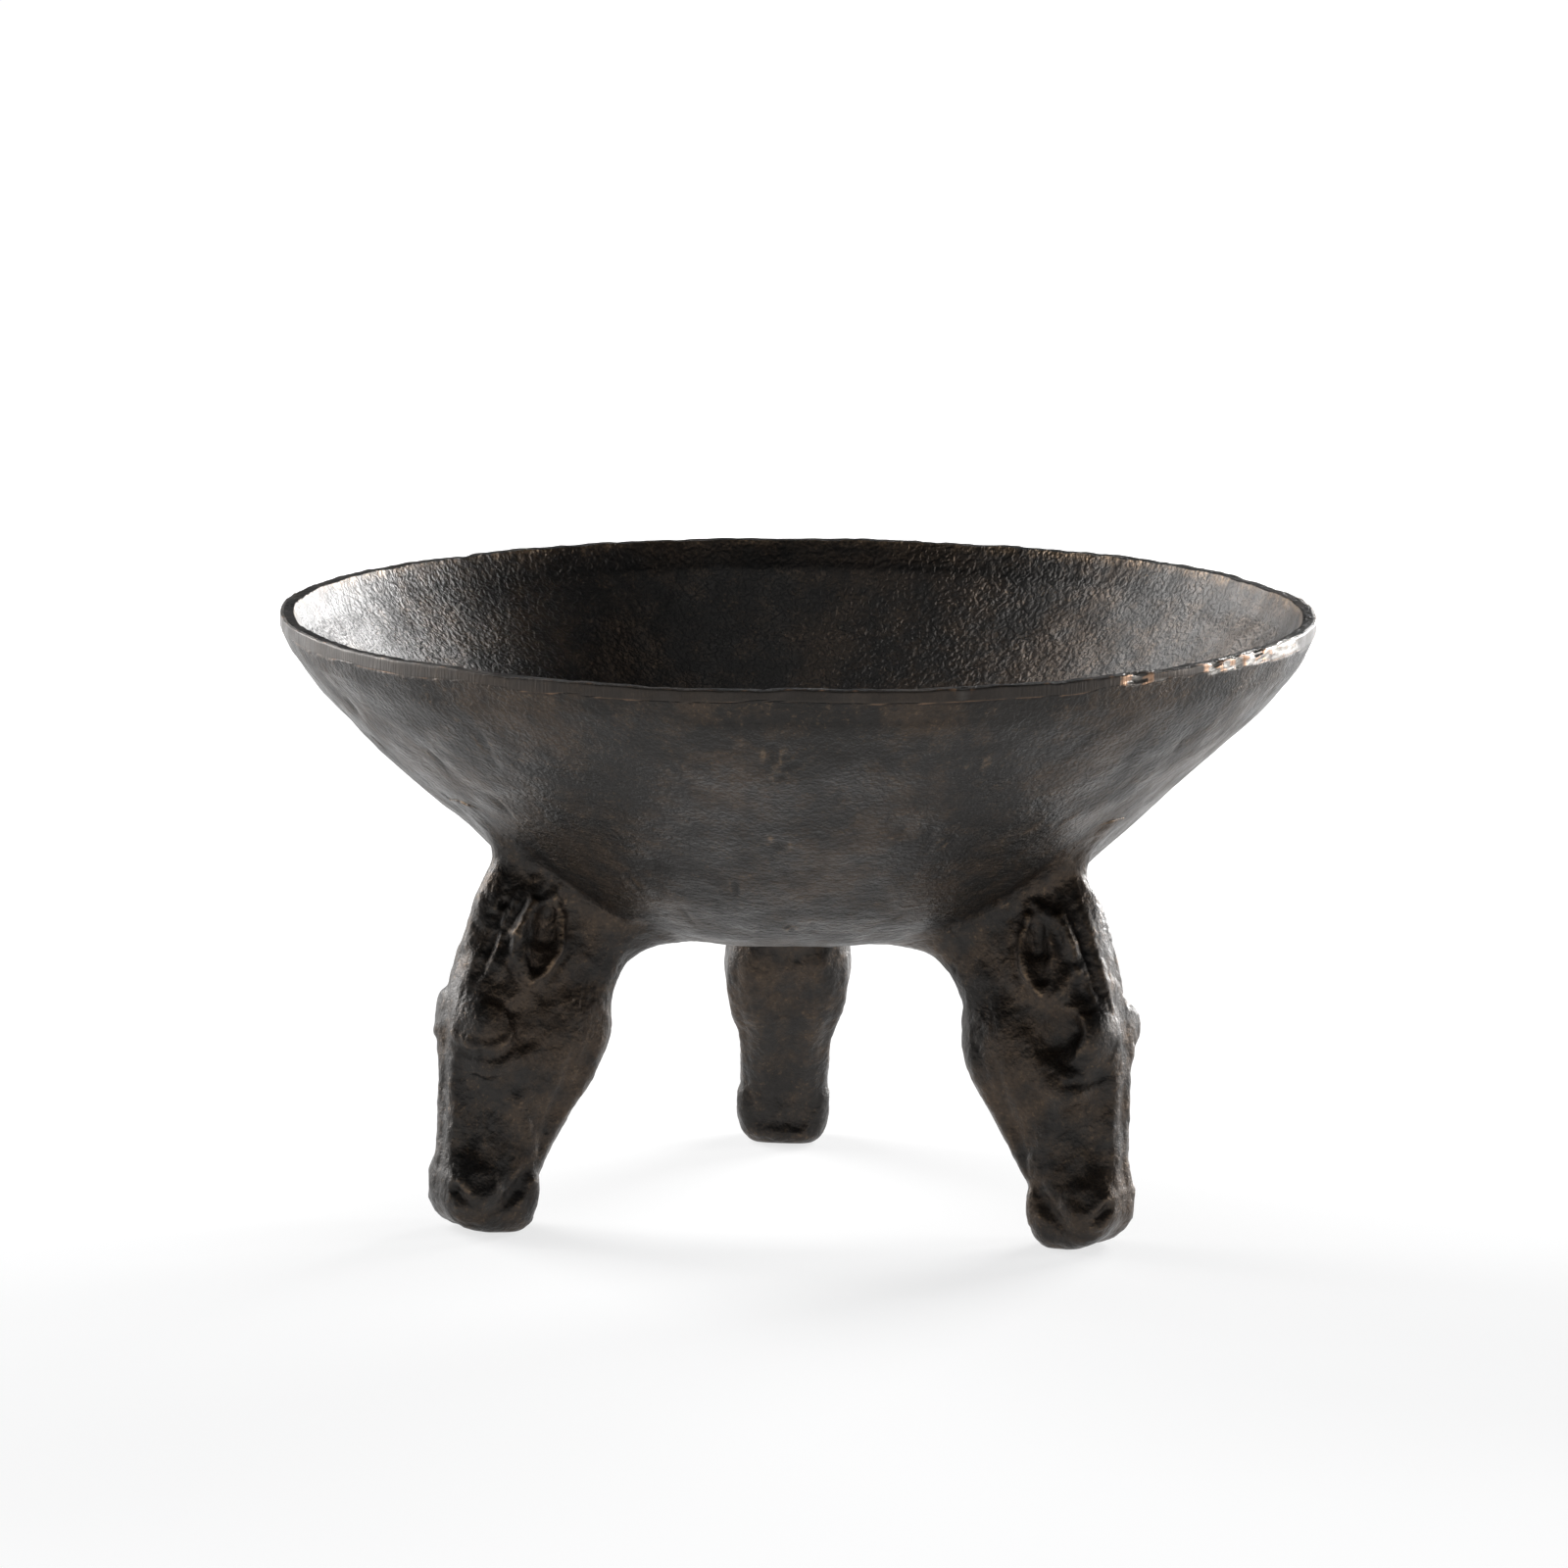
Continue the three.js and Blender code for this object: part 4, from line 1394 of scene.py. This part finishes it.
    def build_bead(self, material: bpy.types.Material) -> bpy.types.Object:
        """Makes the braze round the head's crest."""
        node = f"braze_bead_{self.side}"
        mesh = voxel_skin(merged_copy(node), self.bead_pitch + 0.1)
        settle(mesh, self.bead_shape, 9, 1.0)
        mesh = voxel_skin(mesh, self.bead_pitch)
        settle(mesh, self.bead_shape, 4, 0.6)
        mesh = self.worked_over(mesh, self.bead_pitch)
        self.weathered(mesh, 1.2)
        return finish_piece(mesh, f"braze_{self.side}", node, material)


# ---- the studio -----------------------------------------------------------------------------------------


@dataclass(frozen=True)
class SoftBox:
    """An area light: where it hangs, its width and height in metres, and its power in watts."""

    name: str
    at: Point
    size: tuple[float, float]
    power: float


@dataclass
class Studio:
    """A white floor, soft boxes behind, beside and above the object, and a long lens."""

    distance: float = 3.4
    eye: float = 0.6849
    lens: float = 268.3
    pitch: float = 9.34
    roll: float = 1.69
    aside: float = -0.0027
    middle: Point = (0.0, 0.0, 0.1)
    boxes: tuple[SoftBox, ...] = (
        SoftBox("left_box", (-1.35, 1.1, 0.95), (1.1, 1.2), 36.0),
        SoftBox("right_box", (0.95, 1.4, 0.56), (0.75, 0.85), 44.0),
        SoftBox("low_left_box", (-1.8, 0.5, 0.4), (0.75, 0.75), 21.0),
        SoftBox("low_right_box", (1.8, 0.5, 0.35), (0.6, 0.6), 20.0),
        SoftBox("top_box", (0.0, -0.4, 2.4), (1.4, 1.2), 6.0),
    )

    def camera(self) -> None:
        """Sets up the camera."""
        data = bpy.data.cameras.new("camera")
        data.sensor_width = 36.0
        data.lens = self.lens
        data.clip_end = 250.0
        camera = bpy.data.objects.new("camera", data)
        place = Matrix.Translation((self.aside, -self.distance, self.eye))
        aim = Matrix.Rotation(math.radians(90.0 - self.pitch), 4, "X")
        camera.matrix_world = place @ aim @ Matrix.Rotation(math.radians(self.roll), 4, "Z")
        bpy.context.scene.collection.objects.link(camera)
        bpy.context.scene.camera = camera

    def floor(self) -> None:
        """Lays the white floor, which gives off painted light of its own: dimmer near the object, full
        white from 1.5 m out.
        """
        bm = bmesh.new()
        bmesh.ops.create_grid(bm, x_segments=1, y_segments=1, size=60.0)
        mesh = bpy.data.meshes.new("floor")
        bm.to_mesh(mesh)
        bm.free()
        material = bpy.data.materials.new("white_floor")
        material.use_nodes = True
        sheet = Sheet(material.node_tree)
        shader = material.node_tree.nodes["Principled BSDF"]
        shader.inputs["Base Color"].default_value = (0.3, 0.3, 0.3, 1.0)
        shader.inputs["Roughness"].default_value = 0.9
        shader.inputs["Specular IOR Level"].default_value = 0.0
        place = sheet.node("ShaderNodeTexCoord").outputs["Object"]
        away = sheet.node("ShaderNodeVectorMath", operation="LENGTH")
        sheet.feed(away.inputs[0], place)
        # Painted light: the floor glows by itself, at 0.71 near the middle rising to 1.0 from 1.5 m out.
        glow = sheet.spread(away.outputs["Value"], 0.25, 1.5, (0.71, 1.0))
        paper = sheet.noise(place, 3.0, 2.0)
        tint = sheet.blend(paper, (1.0, 1.0, 1.0, 1.0), (0.994, 0.996, 1.0, 1.0))
        sheet.feed(shader.inputs["Emission Color"], sheet.blend(1.0, glow, tint, "MULTIPLY"))
        shader.inputs["Emission Strength"].default_value = 1.0
        mesh.materials.append(material)
        floor = bpy.data.objects.new("floor", mesh)
        bpy.context.scene.collection.objects.link(floor)

    def hang(self, box: SoftBox) -> None:
        """Hangs a soft box, turned to the object's middle."""
        data = bpy.data.lights.new(box.name, "AREA")
        data.shape = "RECTANGLE"
        data.size, data.size_y = box.size
        data.energy = box.power
        light = bpy.data.objects.new(box.name, data)
        light.location = box.at
        aim = Vector(self.middle) - Vector(box.at)
        light.rotation_euler = aim.to_track_quat("-Z", "Y").to_euler()
        light.visible_camera = False
        bpy.context.scene.collection.objects.link(light)

    def build(self) -> None:
        """Sets up the studio."""
        self.camera()
        self.floor()
        world = bpy.data.worlds.new("room")
        world.use_nodes = True
        world.node_tree.nodes["Background"].inputs["Color"].default_value = (0.9, 0.95, 1.0, 1.0)
        world.node_tree.nodes["Background"].inputs["Strength"].default_value = 0.07
        bpy.context.scene.world = world
        bpy.context.scene.view_settings.view_transform = "Standard"
        for box in self.boxes:
            self.hang(box)


def three_heads(bowl: Bowl) -> tuple[HorseHead, ...]:
    """The three castings, none quite like another."""
    return (
        HorseHead("back", bowl, 31.0, ROUND_EYE, LOBED_EAR, ROUGH_MANE),
        HorseHead("left", bowl, 57.0, ROUND_EYE, LEAF_EAR, ROUGH_MANE),
        HorseHead("right", bowl, 83.0, DEEP_EYE, LOBED_EAR, COMBED_MANE, heel=0.055, chin=2.6),
    )


def finishes() -> tuple[bpy.types.Material, bpy.types.Material, bpy.types.Material]:
    """The bowl's, the heads' and the braze's materials."""
    bowl = BowlFinish("bowl_bronze", dark=(0.022, 0.0195, 0.0175), sand=0.7, depth=0.3).build()
    head = BronzeFinish("head_bronze", clouds=0.9, rub=1.0, sand=1.1, pebbles=0.4, depth=0.24).build()
    braze = BronzeFinish("braze_bronze", clouds=0.85, rub=0.9, sand=1.1, pebbles=0.4, depth=0.24).build()
    return bowl, head, braze


def main() -> None:
    """Builds the bowl, the heads, the braze and the studio, in that order."""
    cast_grain_group()
    patina_group()
    bowl_metal, head_metal, braze_metal = finishes()
    bowl = Bowl()
    bowl.build(bowl_metal)
    for head in three_heads(bowl):
        head.build_head(head_metal)
        head.build_bead(braze_metal)
    Studio().build()


if __name__ == "__main__":
    main()
